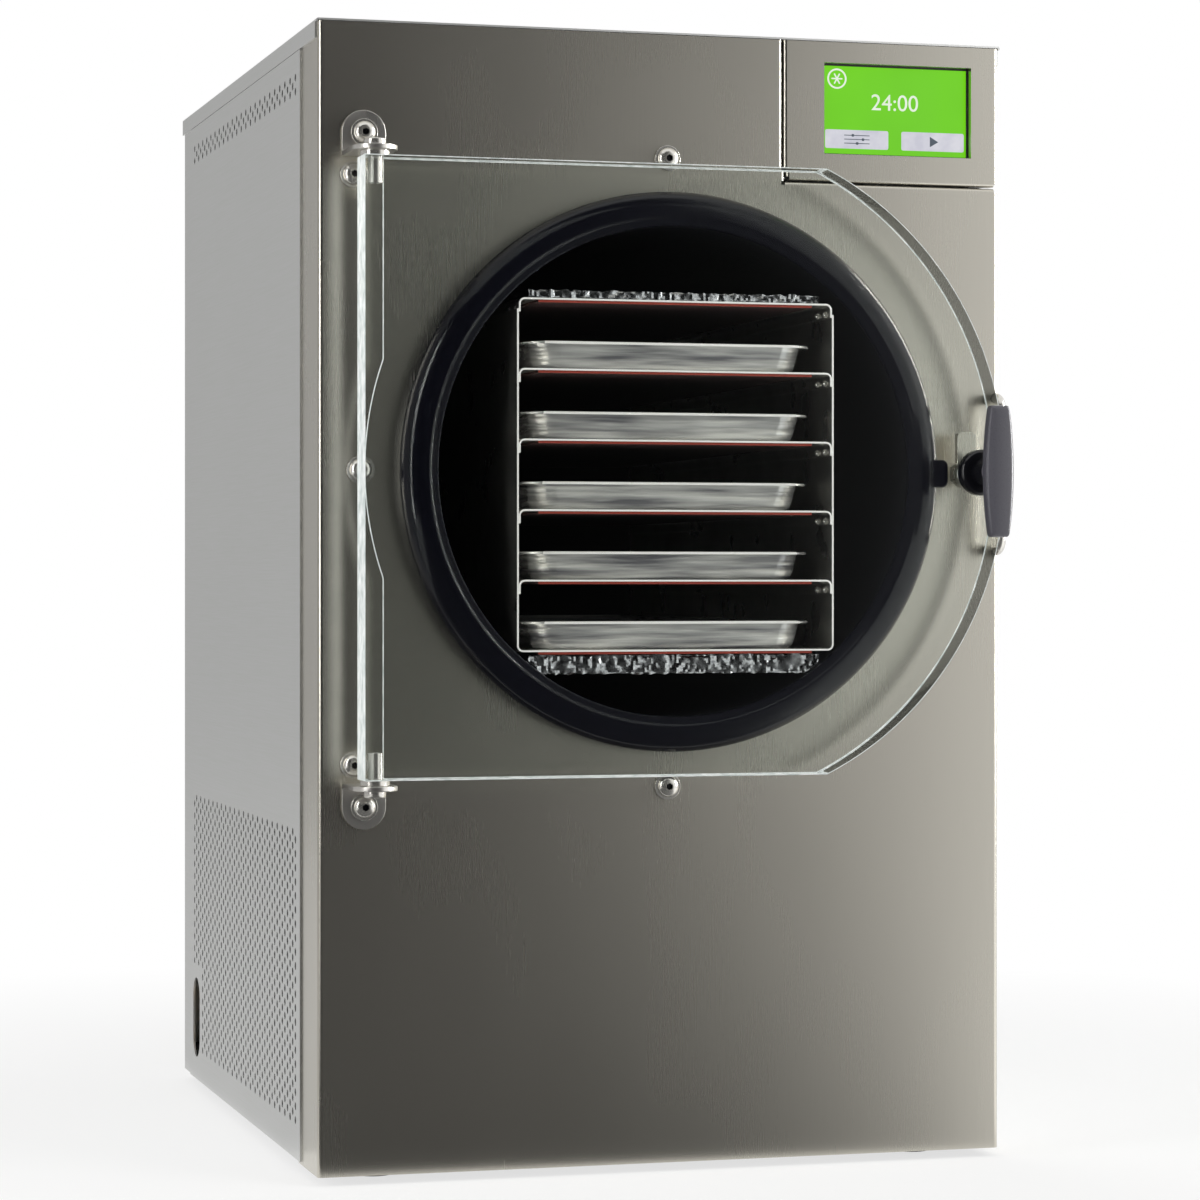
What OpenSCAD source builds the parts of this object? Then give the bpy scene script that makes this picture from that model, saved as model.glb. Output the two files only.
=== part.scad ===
// Upright vacuum freeze dryer for a bench: a sheet steel cabinet, a round vacuum
// chamber behind a clear swing door, a heated rack with five trays, and the
// refrigeration set that chills the chamber wall, in the space below it.
// Millimetres. X is the width, Y the depth with the front at -Y, Z is up.
// The origin is on the floor, under the middle of the whole machine.

/* [Cabinet] */
// Width across the side panels
cabinet_w = 457.2; // [440:0.2:560]
// Depth from the front panel to the back panel
cabinet_d = 520; // [510:1:640]
// Height of the panels, without the feet
panel_h = 724; // [712:1:860]
// Height of the feet below the panels
foot_h = 6; // [4:1:20]
// Thickness of the front and fascia sheets
front_t = 1.5; // [1:0.1:2]
// Thickness of the side, top and back sheets
cover_t = 1.2; // [0.8:0.1:2]
// Outside radius of the front panel's corner bends
bend_r = 3; // [2.5:0.5:5]
// Outside radius of the small folds beside a joint
fold_r = 2.2; // [2.1:0.1:3]
// Depth of the small folds beside a joint
fold_leg = 9; // [6:1:14]
// Gap between two neighbouring sheets
sheet_gap = 0.4; // [0.2:0.1:0.8]
// Visible width of the front panel's side returns
front_return = 53; // [40:1:70]
// Visible width of the back panel's side returns
rear_return = 36; // [30:1:40]
// How far a return reaches on under the side panel
return_lap = 10; // [6:1:11]
// Depth of the top cover's side lips
cover_lip = 12; // [8:1:20]
// Height of the base tray's upturned edges
tray_edge_h = 18; // [10:1:25]

/* [Side vents] */
// Diameter of a vent hole
vent_d = 5; // [3:0.5:6]
// Spacing of the vent holes, across and up
vent_pitch = 9; // [8:0.5:14]
// Height of the top of the lower vent field
vent_top = 213; // [150:1:230]
// Drop from the panels' top to the upper vent rows
vent_drop = 33; // [26:1:60]
// Length of the hose opening
hose_slot_h = 59; // [50:1:70]
// Width of the hose opening
hose_slot_w = 29; // [24:1:30]
// Height of the hose opening's middle
hose_slot_z = 48; // [45:1:60]

/* [Control fascia] */
// Width of the fascia on the front
fascia_w = 149.7; // [140:0.1:170]
// Height of the fascia on the front
fascia_h = 92.5; // [85:0.5:110]
// Width of the display window
window_w = 101.8; // [90:0.1:110]
// Height of the display window
window_h = 59.3; // [50:0.1:66]
// Distance from the window's right edge to the cabinet's side
window_side = 20.3; // [17:0.1:24]
// Distance from the window's top to the panels' top
window_drop = 14.9; // [12:0.1:20]
// Depth of the window's inward flange
window_flange = 6; // [4:0.5:9]
// Visible width of the dark frame around the lit screen
bezel_w = 1.1; // [0.8:0.1:4]

/* [Chamber] */
// Height of the chamber's axis above the panels' bottom
chamber_z = 442; // [430:1:500]
// Inside radius of the chamber
chamber_r = 155.5; // [130:0.5:158]
// Wall of the chamber drum
drum_t = 2; // [1.5:0.1:3]
// How far the drum's rim stands ahead of the front panel
rim_reach = 17; // [12:1:20]
// Inside depth of the drum behind the front panel
drum_depth = 466; // [465:1:468]
// Thickness of the drum's back plate
drum_back_t = 5; // [4:0.5:8]
// Thickness of the foam around the drum
foam_t = 22; // [20:1:24]
// Radius of the chilling tube wound on the drum
coil_tube_r = 4; // [3:0.5:5]
// Number of chilling tube rings
coil_rings = 8; // [4:1:9]

/* [Gasket] */
// Outside radius of the door gasket
gasket_r = 177.5; // [174:0.5:179]
// Distance from the front panel to the gasket's sealing face
gasket_reach = 22; // [20:0.5:24]

/* [Door] */
// Thickness of the clear door plate
door_t = 25.4; // [20:0.1:30]
// Radius of the door's round edge about the chamber's axis
door_r = 213.3; // [205:0.1:214]
// Half the height of the door plate
door_half_h = 192.4; // [180:0.1:195]
// Distance from the chamber's axis to the door's hinge edge
door_left = 208; // [205:0.5:212]
// Distance from the door's hinge edge to the hinge pin
pin_inset = 9.3; // [8:0.1:12]
// Depth of the relief behind the hinge edge
relief_depth = 4; // [2:0.5:6]
// Width of the relief behind the hinge edge
relief_w = 16; // [12:0.5:18]

/* [Hinges] */
// Width of a hinge bracket
bracket_w = 28; // [22:1:28]
// Thickness of a hinge bracket
bracket_t = 3; // [2:0.5:4]
// Distance from the bracket's shelf to its bolt
bracket_rise = 15; // [14:0.5:20]
// Radius of the hinge pin
pin_r = 3.5; // [3:0.1:4]
// Outside radius of the hinge bush
bush_r = 4.75; // [4.5:0.05:6]
// Length of the hinge bush
bush_l = 17; // [12:1:22]
// Outside radius of the washer between bracket and door
spacer_r = 9.3; // [7:0.1:10]
// Space between the bracket's shelf and the door
spacer_gap = 3.5; // [2.5:0.1:5]

/* [Latch] */
// Distance from the chamber's axis to the latch shaft
latch_x = 194.7; // [194:0.1:195]
// Radius of the latch shaft
shaft_r = 6; // [5:0.1:6]
// Radius of the latch's round housing
housing_r = 14.8; // [12:0.1:15]
// Thickness of the latch's round housing
housing_t = 9; // [4:0.5:10]
// Length of the handle bar
handle_l = 83.6; // [60:0.1:90]
// Width of the handle bar at its middle
handle_w = 18.7; // [16:0.1:22]
// Width of the handle bar at its ends
handle_end_w = 13.6; // [11:0.1:15]
// Thickness of the handle bar
handle_t = 11.5; // [10:0.1:14]
// Distance from the door's face to the back of the handle bar
handle_gap = 30; // [24:0.5:40]
// Reach of the tongue from the shaft's middle
tongue_l = 27; // [25:0.5:28]
// Thickness of the tongue
tongue_t = 4.2; // [3:0.1:4.5]
// Radius of the keeper rod
keeper_r = 3.5; // [3:0.1:3.6]
// Distance from the chamber's axis to the keeper rod
keeper_x = 218.2; // [218:0.1:218.6]
// Half the distance between the keeper's legs
keeper_half = 49.3; // [40:0.1:60]
// Distance from the front panel to the keeper rod's middle
keeper_reach = 27; // [26.5:0.5:30]

/* [Rack and trays] */
// Width across the rack
rack_w = 210; // [204:1:210]
// Thickness of the rack's sheet
rack_t = 1.2; // [1:0.1:1.5]
// Length of the rack
rack_l = 464; // [462:1:470]
// How far the rack stands ahead of the front panel
rack_front = 18; // [10:0.5:18]
// Drop from the chamber's axis to the lowest shelf
rack_drop = 113; // [110:0.5:113]
// Spacing of the shelves
shelf_pitch = 44.3; // [42:0.1:44.5]
// Number of trays
tray_count = 5; // [1:1:5]
// Depth of a shelf's turned-down side
shelf_flange = 9; // [6:0.5:12]
// Drop from the top shelf to the top of the rack's sides
side_drop = 7; // [6:0.5:9]
// Bend radius of the rack's sheet
rack_bend = 4; // [3:0.5:6]
// Thickness of a heater mat
mat_t = 1.6; // [1:0.1:2.5]
// Length of a tray over its rim
tray_l = 457; // [440:1:458]
// Width of a tray over its rim
tray_w = 190.5; // [180:0.5:194]
// Height of a tray
tray_h = 18; // [14:0.5:22]
// Thickness of a tray's sheet
tray_t = 0.9; // [0.7:0.1:1.2]
// Thickness of the foil blanket above the rack
top_foil_t = 6; // [4:0.5:8]
// Thickness of the foil blanket below the rack
low_foil_t = 13; // [8:0.5:15]

/* [Refrigeration] */
// Radius of the compressor's can
compressor_r = 72; // [60:1:76]
// Height of the compressor's can
compressor_h = 172; // [140:1:180]
// Height of the condenser block
condenser_h = 205; // [180:1:215]
// Length of the condenser block
condenser_l = 256; // [230:1:270]
// Thickness of the condenser block
condenser_t = 38; // [30:1:45]
// Radius of the condenser's fan
fan_r = 92; // [80:1:95]
// Number of fan blades
fan_blades = 5; // [3:1:7]
// Radius of the refrigerant pipes
pipe_r = 4; // [3:0.5:5]

/* [Hidden] */
$fn = 72;

// Clearances
fit = 0.15;                // between two fixed round pieces
run_fit = 0.06;            // radial, where one piece turns in another
face_gap = 0.3;            // between flat faces of pieces that part
side_gap = 0.1;            // beside a turning washer

// Cabinet
front_w = cabinet_w - 2 * cover_t;
cover_under = panel_h - cover_t;
cover_bend = cover_t + sheet_gap;
wall_top = cover_under - sheet_gap;
lap_front = front_return + return_lap;
lap_rear = cabinet_d - rear_return - return_lap;
side_rear = cabinet_d - rear_return;
lip_start = bend_r + 1;
base_z = 2;
base_t = 1.5;
base_top = base_z + base_t;
base_half_w = front_w / 2 - front_t - sheet_gap;
base_back = cabinet_d - cover_t - sheet_gap;
foot_r = 16;
foot_inset = 46;
foot_plug_r = 4;
socket_proud = 5;

// Fascia joint: the fascia fills the front panel's upper right corner
joint_gap = 1.2;
fascia_x = cabinet_w / 2 - fascia_w;
fascia_z = panel_h - fascia_h;
window_x = cabinet_w / 2 - window_side - window_w / 2;
window_z = panel_h - window_drop - window_h / 2;

// Chamber and gasket
drum_r = chamber_r + drum_t;
drum_back = drum_depth + drum_back_t;
flange_t = 5;
flange_r = 182;
ear_r = 13;
bolt_circle = 201;
coil_joint = 0.5;
coil_r = drum_r + coil_tube_r + coil_joint + fit;
foam_in = coil_r + coil_tube_r + coil_joint + fit;
foam_r = foam_in + foam_t;
foam_front = front_t + flange_t + fit;
foam_back = drum_back + 17;
coil_start = 40;
coil_pitch = (drum_depth - 2 * coil_start) / (coil_rings - 1);
coil_gap_angle = 5;
coil_end_x = coil_r * sin(coil_gap_angle);
coil_end_z = chamber_z - coil_r * cos(coil_gap_angle);
coil_last = coil_start + (coil_rings - 1) * coil_pitch;
liquid_x = -round(coil_end_x * 100) / 100;    // both lines meet the coil's ends
suction_x = coil_rings % 2 == 0 ? liquid_x : -liquid_x;

// Door and hinges
door_rear = gasket_reach + face_gap;
relief_r = door_r - 9.7;
door_face = door_rear + door_t;
pin_x = pin_inset - door_left;
pin_reach = door_rear + door_t / 2;
shelf_z = door_half_h + spacer_gap;
bracket_bend = 4;
bracket_bolt_z = shelf_z + bracket_rise;
side_bolt_x = -205;
side_bolt_z = 184.7;

// Fasteners, metric M8 and M4
bolt_r = 4;
bolt_hole_r = 4.4;
bolt_head_r = 7;
bolt_head_h = 4.4;
bolt_key = 5;
washer_r = 8.5;
washer_t = 1.6;
nut_flats = 13;
nut_t = 6.5;
keeper_nut_flats = 11;
screw_r = 2;
screw_head_r = 3.8;
screw_head_h = 1.8;

// Latch
tongue_w = 13;
tongue_front = door_rear - face_gap;
latch_nut_t = 4.5;
shaft_rear = tongue_front - tongue_t - latch_nut_t;
handle_back = door_face + handle_gap;
handle_front = handle_back + handle_t;
hub_r = 12.5;
hub_flare = 3;
housing_edge = 3;
hub_start = door_face + housing_t + face_gap;
shaft_front = handle_back - 4;
keeper_bend = 8;

// Rack, trays and blankets, measured from the chamber's axis. Their widths and levels are
// given for the bore below, and follow the chamber when it is made smaller or larger.
rack_bore_r = 155.5;
bore_share = chamber_r / rack_bore_r;
rack_span = rack_w * bore_share;
rack_low = rack_drop * bore_share;
level_pitch = shelf_pitch * bore_share;
rack_half = rack_span / 2;
shelf_half = rack_half - rack_t;
rack_top = tray_count * level_pitch - rack_low;
mat_inset = 13;
mat_half = shelf_half - mat_inset;
tray_flare = 4;
tray_corner = 18;
tray_rim = 5;
tray_half = tray_w * bore_share / 2 - tray_rim;
tray_fronts = [9, 12, 14, 11, 8];    // each tray was slid in by hand
foil_half = 97 * bore_share;

// Refrigeration set
compressor_at = [112, 312];
mount_h = 13;
can_z = base_top + mount_h + 3;
stub_top = can_z + compressor_h + 14;
stub_x = 48;
condenser_x = -208;
condenser_y = 112;
condenser_z = base_top + 8;
condenser_rows = 9;
bend_out = 5;
fan_at = [condenser_y + condenser_l / 2, condenser_z + condenser_h / 2];
shroud_x = condenser_x + condenser_t + face_gap;
shroud_t = 2;
collar_l = 24;
fan_x = shroud_x + 13;
fan_shaft_r = 4;
fan_hub_r = 24;
blade_angle = 62;
motor_x = fan_x + 24;
motor_r = 34;
motor_l = 52;
drier_at = [-62, 78];
drier_z = 104;
drier_l = 112;
pipe_bend = 12;
pipe_level = 240;
suction_level = 226;    // this line passes below the gas line

// Hose ports
port_y = 456;
port_x = -206;
vacuum_z = hose_slot_z + 16;
drain_z = hose_slot_z - 15;
port_plate_t = 2;
vacuum_r = 8;
drain_r = 6;
port_reach = 19;
vacuum_at = [-100, 400];
tube_back = foam_back + 15;
tube_bend = 16;

// Back panel fittings
inlet_at = [-150, 330];
inlet_w = 50;
inlet_h = 28;
switch_at = [-150, 382];
switch_w = 22;
switch_h = 30;
rocker_r = 11;
rocker_pivot = 4.5;
rocker_tilt = 10;
supply_at = [120, 560];
supply_size = [130, 26, 100];

// The whole machine is centred on the origin, front to back
front_y = (handle_front - cabinet_d - socket_proud) / 2;

// Placing: the front panel's face is y = 0 and the panels' bottom z = 0 inside
module place() translate([0, front_y, foot_h]) children();
module at_chamber() place() translate([0, 0, chamber_z]) children();

// Round bar or tube along Y from y0 back to y1
module rod_y(r, y0, y1, x = 0, z = 0, bore = 0) {
    translate([x, y1, z]) rotate([90, 0, 0]) difference() {
        cylinder(r = r, h = y1 - y0);
        if (bore > 0) translate([0, 0, -1]) cylinder(r = bore, h = y1 - y0 + 2);
    }
}

// Round bar or tube along X from x0 to x1
module rod_x(r, x0, x1, y = 0, z = 0, bore = 0) {
    translate([x0, y, z]) rotate([0, 90, 0]) difference() {
        cylinder(r = r, h = x1 - x0);
        if (bore > 0) translate([0, 0, -1]) cylinder(r = bore, h = x1 - x0 + 2);
    }
}

// Turns a profile of (radius, distance ahead of the front panel) about Y
module turned_y(x = 0, z = 0) {
    translate([x, 0, z]) rotate([90, 0, 0]) rotate_extrude() children();
}

// Extrudes an outline drawn in (Y, Z) along X from x0 to x1
module slab_x(x0, x1) {
    translate([x0, 0, 0]) rotate([90, 0, 90]) linear_extrude(x1 - x0) children();
}

// Extrudes an outline drawn in (X, Z) along Y from y0 back to y1
module slab_y(y0, y1) {
    translate([0, y1, 0]) rotate([90, 0, 0]) linear_extrude(y1 - y0) children();
}

// Rectangle with round corners, centred
module round_rect(w, h, r) {
    square([w - 2 * r, h], center = true);
    square([w, h - 2 * r], center = true);
    for (sx = [-1, 1], sy = [-1, 1])
        translate([sx * (w / 2 - r), sy * (h / 2 - r)]) circle(r);
}

// Slot with round ends, centred, long side up
module obround(w, h) {
    square([w, h - w], center = true);
    for (s = [-1, 1]) translate([0, s * (h - w) / 2]) circle(w / 2);
}

// Plan of a sheet folded back at both sides, its outer corners round
module folded_plan(w, depth, t, r) {
    half = w / 2;
    difference() {
        union() {
            translate([-half, r]) square([w, depth - r]);
            translate([r - half, 0]) square([w - 2 * r, r]);
            for (s = [-1, 1]) translate([s * (half - r), r]) circle(r);
        }
        translate([t - half, r]) square([w - 2 * t, depth]);
        translate([r - half, t]) square([w - 2 * r, r]);
        for (s = [-1, 1]) translate([s * (half - r), r]) circle(r - t);
    }
}

// Section of a small fold: it ends a sheet at x = 0 and turns back along y
module fold_section() {
    difference() {
        intersection() {
            translate([-fold_r, fold_r]) circle(fold_r);
            translate([-fold_r, 0]) square(fold_r);
        }
        translate([-fold_r, fold_r]) circle(fold_r - front_t);
    }
    translate([-front_t, fold_r]) square([front_t, fold_leg - fold_r]);
}

// Fold along an upright edge at x, turned away from the sheet
module upright_fold(x, z0, z1, side) {
    translate([x, 0, z0]) mirror([side < 0 ? 1 : 0, 0, 0])
        linear_extrude(z1 - z0) fold_section();
}

// Fold along a level edge at z, turned away from the sheet
module level_fold(z, x0, x1, side) {
    translate([x0, 0, z]) mirror([0, 0, side < 0 ? 1 : 0])
        rotate([90, 0, 90]) linear_extrude(x1 - x0) mirror([1, -1]) fold_section();
}

// Tube that follows points along the axes, with a round bend at each corner
function unit(v) = v / norm(v);
module bent_tube(points, r, bend) {
    last = len(points) - 1;
    for (i = [0 : last - 1]) {
        u = unit(points[i + 1] - points[i]);
        v = [u[1], u[2], u[0]];
        w = cross(u, v);
        start = points[i] + u * (i == 0 ? 0 : bend);
        end = points[i + 1] - u * (i + 1 == last ? 0 : bend);
        multmatrix([
            [v[0], w[0], u[0], start[0]],
            [v[1], w[1], u[1], start[1]],
            [v[2], w[2], u[2], start[2]],
            [0, 0, 0, 1]
        ]) cylinder(r = r, h = norm(end - start));
    }
    for (i = [1 : 1 : last - 1]) {
        a = unit(points[i] - points[i - 1]);
        b = unit(points[i + 1] - points[i]);
        n = cross(a, b);
        c = points[i] - a * bend + b * bend;
        multmatrix([
            [-b[0], a[0], n[0], c[0]],
            [-b[1], a[1], n[1], c[1]],
            [-b[2], a[2], n[2], c[2]],
            [0, 0, 0, 1]
        ]) rotate_extrude(angle = 90) translate([bend, 0]) circle(r);
    }
}

// Button-head bolt with a hexagon socket, its seat at distance d ahead
module button_bolt(x, z, d, length) {
    dome = (bolt_head_r * bolt_head_r + bolt_head_h * bolt_head_h) / (2 * bolt_head_h);
    difference() {
        union() {
            turned_y(x, z) translate([0, d]) intersection() {
                translate([0, bolt_head_h - dome]) circle(dome);
                square([bolt_head_r, bolt_head_h]);
            }
            rod_y(bolt_r, -d - 0.5, length - d, x, z);
        }
        translate([x, -d - 1.8, z]) rotate([90, 30, 0])
            cylinder(d = bolt_key / cos(30), h = bolt_head_h, $fn = 6);
    }
}

// Hexagon nut along Y with its flats facing sideways
module hex_nut(x, y, z, t, flats, bore) {
    translate([x, y + t, z]) rotate([90, 30, 0]) difference() {
        cylinder(d = flats / cos(30), h = t, $fn = 6);
        translate([0, 0, -1]) cylinder(r = bore, h = t + 2);
    }
}

// Places of the bolts on the front panel, [x, z, seat ahead of the panel]
chamber_bolts = [
    [0, chamber_z + bolt_circle, 0], [0, chamber_z - bolt_circle, 0],
    [bolt_circle, chamber_z, 0], [-bolt_circle, chamber_z, 0]
];
side_bolts = [
    [side_bolt_x, chamber_z + side_bolt_z, 0], [side_bolt_x, chamber_z - side_bolt_z, 0]
];
bracket_bolts = [
    [pin_x, chamber_z + bracket_bolt_z, bracket_t],
    [pin_x, chamber_z - bracket_bolt_z, bracket_t]
];
panel_bolt_list = concat(chamber_bolts, side_bolts, bracket_bolts);
keeper_legs = [chamber_z - keeper_half, chamber_z + keeper_half];

// ---- Cabinet ----

module front_panel() color("silver") place() {
    notch_x = fascia_x - joint_gap;
    notch_z = fascia_z - joint_gap;
    difference() {
        union() {
            linear_extrude(notch_z - fold_r) folded_plan(front_w, lap_front, front_t, bend_r);
            translate([0, 0, notch_z - fold_r]) linear_extrude(wall_top - notch_z + fold_r)
                intersection() {
                    folded_plan(front_w, lap_front, front_t, bend_r);
                    translate([-front_w, 0]) square([front_w + notch_x - fold_r, cabinet_d]);
                }
            upright_fold(notch_x, notch_z + sheet_gap, wall_top, 1);
            level_fold(notch_z, notch_x + sheet_gap, front_w / 2 - bend_r, 1);
        }
        rod_y(drum_r + 1, -1, front_t + 1, 0, chamber_z);
        for (b = panel_bolt_list) rod_y(bolt_hole_r, -1, front_t + 1, b[0], b[1]);
        for (z = keeper_legs) rod_y(keeper_r + fit, -1, front_t + 1, keeper_x, z);
    }
}

module control_fascia() color("silver") place() difference() {
    union() {
        translate([0, 0, fascia_z + fold_r]) linear_extrude(wall_top - fascia_z - fold_r)
            intersection() {
                folded_plan(front_w, lap_front, front_t, bend_r);
                translate([fascia_x + fold_r, 0]) square([front_w, cabinet_d]);
            }
        upright_fold(fascia_x, fascia_z + fold_r, wall_top, -1);
        level_fold(fascia_z, fascia_x + fold_r, front_w / 2 - bend_r, -1);
        translate([window_x, 0, window_z]) slab_y(front_t / 2, window_flange)
            square([window_w + 2 * front_t, window_h + 2 * front_t], center = true);
    }
    window_hole();
}

module window_hole() translate([window_x, 0, window_z])
    slab_y(-1, window_flange + 1) square([window_w, window_h], center = true);

// Rows of vent holes in (Y, Z), every second column half a step up
module vent_field(y0, y1, z0, z1) {
    for (i = [0 : floor((y1 - y0) / vent_pitch)]) {
        lift = i % 2 == 0 ? 0 : vent_pitch / 2;
        for (z = [z0 + lift : vent_pitch : z1]) translate([y0 + i * vent_pitch, z]) circle(d = vent_d);
    }
}

module side_outline() {
    first = lap_front + vent_d;
    last = lap_rear - vent_d;
    difference() {
        translate([front_return, base_z])
            square([side_rear - front_return, panel_h - cover_lip - sheet_gap - base_z]);
        vent_field(first, last, panel_h - vent_drop - vent_pitch / 2, panel_h - vent_drop + vent_pitch / 2);
        difference() {
            vent_field(first, last, base_top + tray_edge_h + vent_d, vent_top);
            translate([port_y, hose_slot_z])
                square([hose_slot_w + 4 * vent_d, hose_slot_h + 4 * vent_d], center = true);
        }
        children();
    }
}

module left_side_panel() color("gainsboro") place()
    slab_x(-cabinet_w / 2, cover_t - cabinet_w / 2)
        side_outline() translate([port_y, hose_slot_z]) obround(hose_slot_w, hose_slot_h);

module right_side_panel() color("gainsboro") place()
    slab_x(cabinet_w / 2 - cover_t, cabinet_w / 2) side_outline();

// Section of the top cover across the cabinet, in (X, Z)
module cover_section() {
    half = cabinet_w / 2;
    r = cover_bend;
    difference() {
        union() {
            translate([-half, panel_h - cover_lip]) square([cabinet_w, cover_lip - r]);
            translate([r - half, panel_h - r]) square([cabinet_w - 2 * r, r]);
            for (s = [-1, 1]) translate([s * (half - r), panel_h - r]) circle(r);
        }
        translate([cover_t - half, 0]) square([cabinet_w - 2 * cover_t, panel_h - r]);
        translate([r - half, 0]) square([cabinet_w - 2 * r, cover_under]);
        for (s = [-1, 1]) translate([s * (half - r), panel_h - r]) circle(r - cover_t);
    }
}

module top_cover() color("lightgray") place() difference() {
    slab_y(0, cabinet_d) cover_section();
    translate([-cabinet_w, -1, 0]) cube([2 * cabinet_w, lip_start + 1, cover_under - 1]);
}

module back_panel() color("lightgray") place() difference() {
    translate([0, cabinet_d, base_z]) mirror([0, 1, 0])
        linear_extrude(wall_top - base_z)
            folded_plan(front_w, cabinet_d - lap_rear, cover_t, bend_r);
    slab_y(cabinet_d - 2 * cover_t, cabinet_d + 1) {
        for (row = [110, 640], i = [-7 : 7]) translate([i * 14, row]) obround(5, 60);
        translate(inlet_at) square([inlet_w - 6, inlet_h - 6], center = true);
        translate(switch_at) square([switch_w - 3, switch_h - 3], center = true);
    }
    for (p = screw_places()) rod_y(screw_r + fit, cabinet_d - 2 * cover_t, cabinet_d + 1, p[0], p[1]);
    // the hose opening stays clear of the left return
    slab_x(-cabinet_w, 0) translate([port_y, hose_slot_z]) obround(hose_slot_w, hose_slot_h);
}

// Screws that hold the back panel to the base tray and the power supply
function screw_places() = concat(
    [for (i = [-1.5 : 1 : 1.5]) [i * 120, base_z + tray_edge_h / 2]],
    [for (sx = [-1, 1], sz = [-1, 1])
        [supply_at[0] + sx * (supply_size[0] / 2 - 10), supply_at[1] + sz * (supply_size[2] / 2 - 10)]]
);

module back_screws() color("gray") place() for (p = screw_places()) difference() {
    union() {
        rod_y(screw_r, cabinet_d - cover_t - 8, cabinet_d + 0.5, p[0], p[1]);
        rod_y(screw_head_r, cabinet_d, cabinet_d + screw_head_h, p[0], p[1]);
    }
    translate([p[0], cabinet_d + screw_head_h, p[1]]) for (a = [0, 90]) rotate([0, a, 0])
        cube([4.4, 2, 0.9], center = true);
}

module base_tray() color("darkgray") place() difference() {
    depth = base_back - bend_r;
    translate([-base_half_w, bend_r, base_z]) cube([2 * base_half_w, depth, base_t + tray_edge_h]);
    translate([base_t - base_half_w, bend_r + base_t, base_top])
        cube([2 * (base_half_w - base_t), depth - 2 * base_t, tray_edge_h + 1]);
    for (p = screw_places()) rod_y(screw_r + fit, base_back - 3, base_back + 1, p[0], p[1]);
    for (sx = [-1, 1], y = [foot_inset, cabinet_d - foot_inset])
        translate([sx * (cabinet_w / 2 - foot_inset), y, base_z - 1])
            cylinder(r = foot_plug_r, h = base_t + 2);
}

module feet() color("dimgray") place()
    for (sx = [-1, 1], y = [foot_inset, cabinet_d - foot_inset])
        translate([sx * (cabinet_w / 2 - foot_inset), y, 0]) rotate_extrude() {
            polygon([
                [0, -foot_h], [foot_r - 3, -foot_h], [foot_r, base_z - 1], [foot_r, base_z],
                [foot_plug_r - fit, base_z], [foot_plug_r - fit, base_top], [0, base_top]
            ]);
        }

// ---- Display and electrics ----

screen_w = window_w - 2 * bezel_w;
screen_h = window_h - 2 * bezel_w;
bezel_lip = 8;
bezel_deep = 4;
screen_recess = 0.3;

module display_bezel() color("black") place() translate([window_x, 0, window_z])
    slab_y(window_flange, window_flange + bezel_deep) difference() {
        square([window_w + bezel_lip, window_h + bezel_lip], center = true);
        square([screen_w, screen_h], center = true);
    }

module display_screen() color("limegreen") place() translate([window_x, 0, window_z])
    slab_y(window_flange + screen_recess, window_flange + bezel_deep)
        square([screen_w - 2 * fit, screen_h - 2 * fit], center = true);

// Board with its processor, relays and connectors behind the display
module control_board() color("darkgreen") place() translate([window_x, 0, window_z]) {
    y0 = window_flange + bezel_deep;
    board_t = 1.6;
    slab_y(y0, y0 + board_t) square([window_w + bezel_lip, window_h + bezel_lip], center = true);
    slab_y(y0 + board_t, y0 + 12) {
        translate([-34, 18]) square([22, 12], center = true);
        translate([34, 18]) square([18, 16], center = true);
        translate([-36, -18]) square([14, 20], center = true);
    }
    slab_y(y0 + board_t, y0 + 4) {
        square([18, 18], center = true);
        translate([26, -20]) square([12, 8], center = true);
    }
}

module power_supply() color("silver") place() {
    y1 = cabinet_d - cover_t;
    y0 = y1 - supply_size[1];
    difference() {
        translate([supply_at[0], 0, supply_at[1]])
            slab_y(y0, y1) square([supply_size[0], supply_size[2]], center = true);
        for (p = screw_places()) rod_y(screw_r + fit, y1 - 9, y1 + 1, p[0], p[1]);
        for (i = [-4 : 4]) translate([supply_at[0] + i * 10, 0, supply_at[1]])
            slab_y(y0 - 1, y0 + 1.5) obround(4, 60);
    }
}

module power_inlet() color("black") place() translate([inlet_at[0], 0, inlet_at[1]]) {
    y1 = cabinet_d;
    difference() {
        union() {
            slab_y(y1 - 22, y1) square([inlet_w - 7, inlet_h - 7], center = true);
            slab_y(y1, y1 + 3) round_rect(inlet_w, inlet_h, 3);
            slab_y(y1 + 3, y1 + socket_proud) round_rect(inlet_w - 12, inlet_h - 2, 3);
        }
        slab_y(y1 - 17, y1 + socket_proud + 1) square([inlet_w - 20, inlet_h - 10], center = true);
        for (s = [-1, 1]) rod_y(1.7, y1 - 1, y1 + 4, s * (inlet_w / 2 - 4), 0);
    }
    for (p = [[-8, -2], [0, 3], [8, -2]])
        translate([p[0], 0, p[1]]) slab_y(y1 - 18, y1 - 3) square([2, 5], center = true);
}

cavity_w = switch_w - 8;
pivot_r = 1.5;

module switch_housing() color("black") place() translate([switch_at[0], 0, switch_at[1]]) {
    y1 = cabinet_d;
    half = cavity_w / 2;
    difference() {
        union() {
            slab_y(y1 - 20, y1) square([switch_w - 4, switch_h - 4], center = true);
            slab_y(y1, y1 + 2) round_rect(switch_w, switch_h, 2);
        }
        rod_x(rocker_r + face_gap, -half, half, y1 - rocker_pivot, 0);
        slab_y(y1 - rocker_pivot, y1 + 3) square([cavity_w, 2 * (rocker_r + face_gap)], center = true);
        rod_x(pivot_r + run_fit, -half - 1.5, half + 1.5, y1 - rocker_pivot, 0);
    }
}

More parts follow.
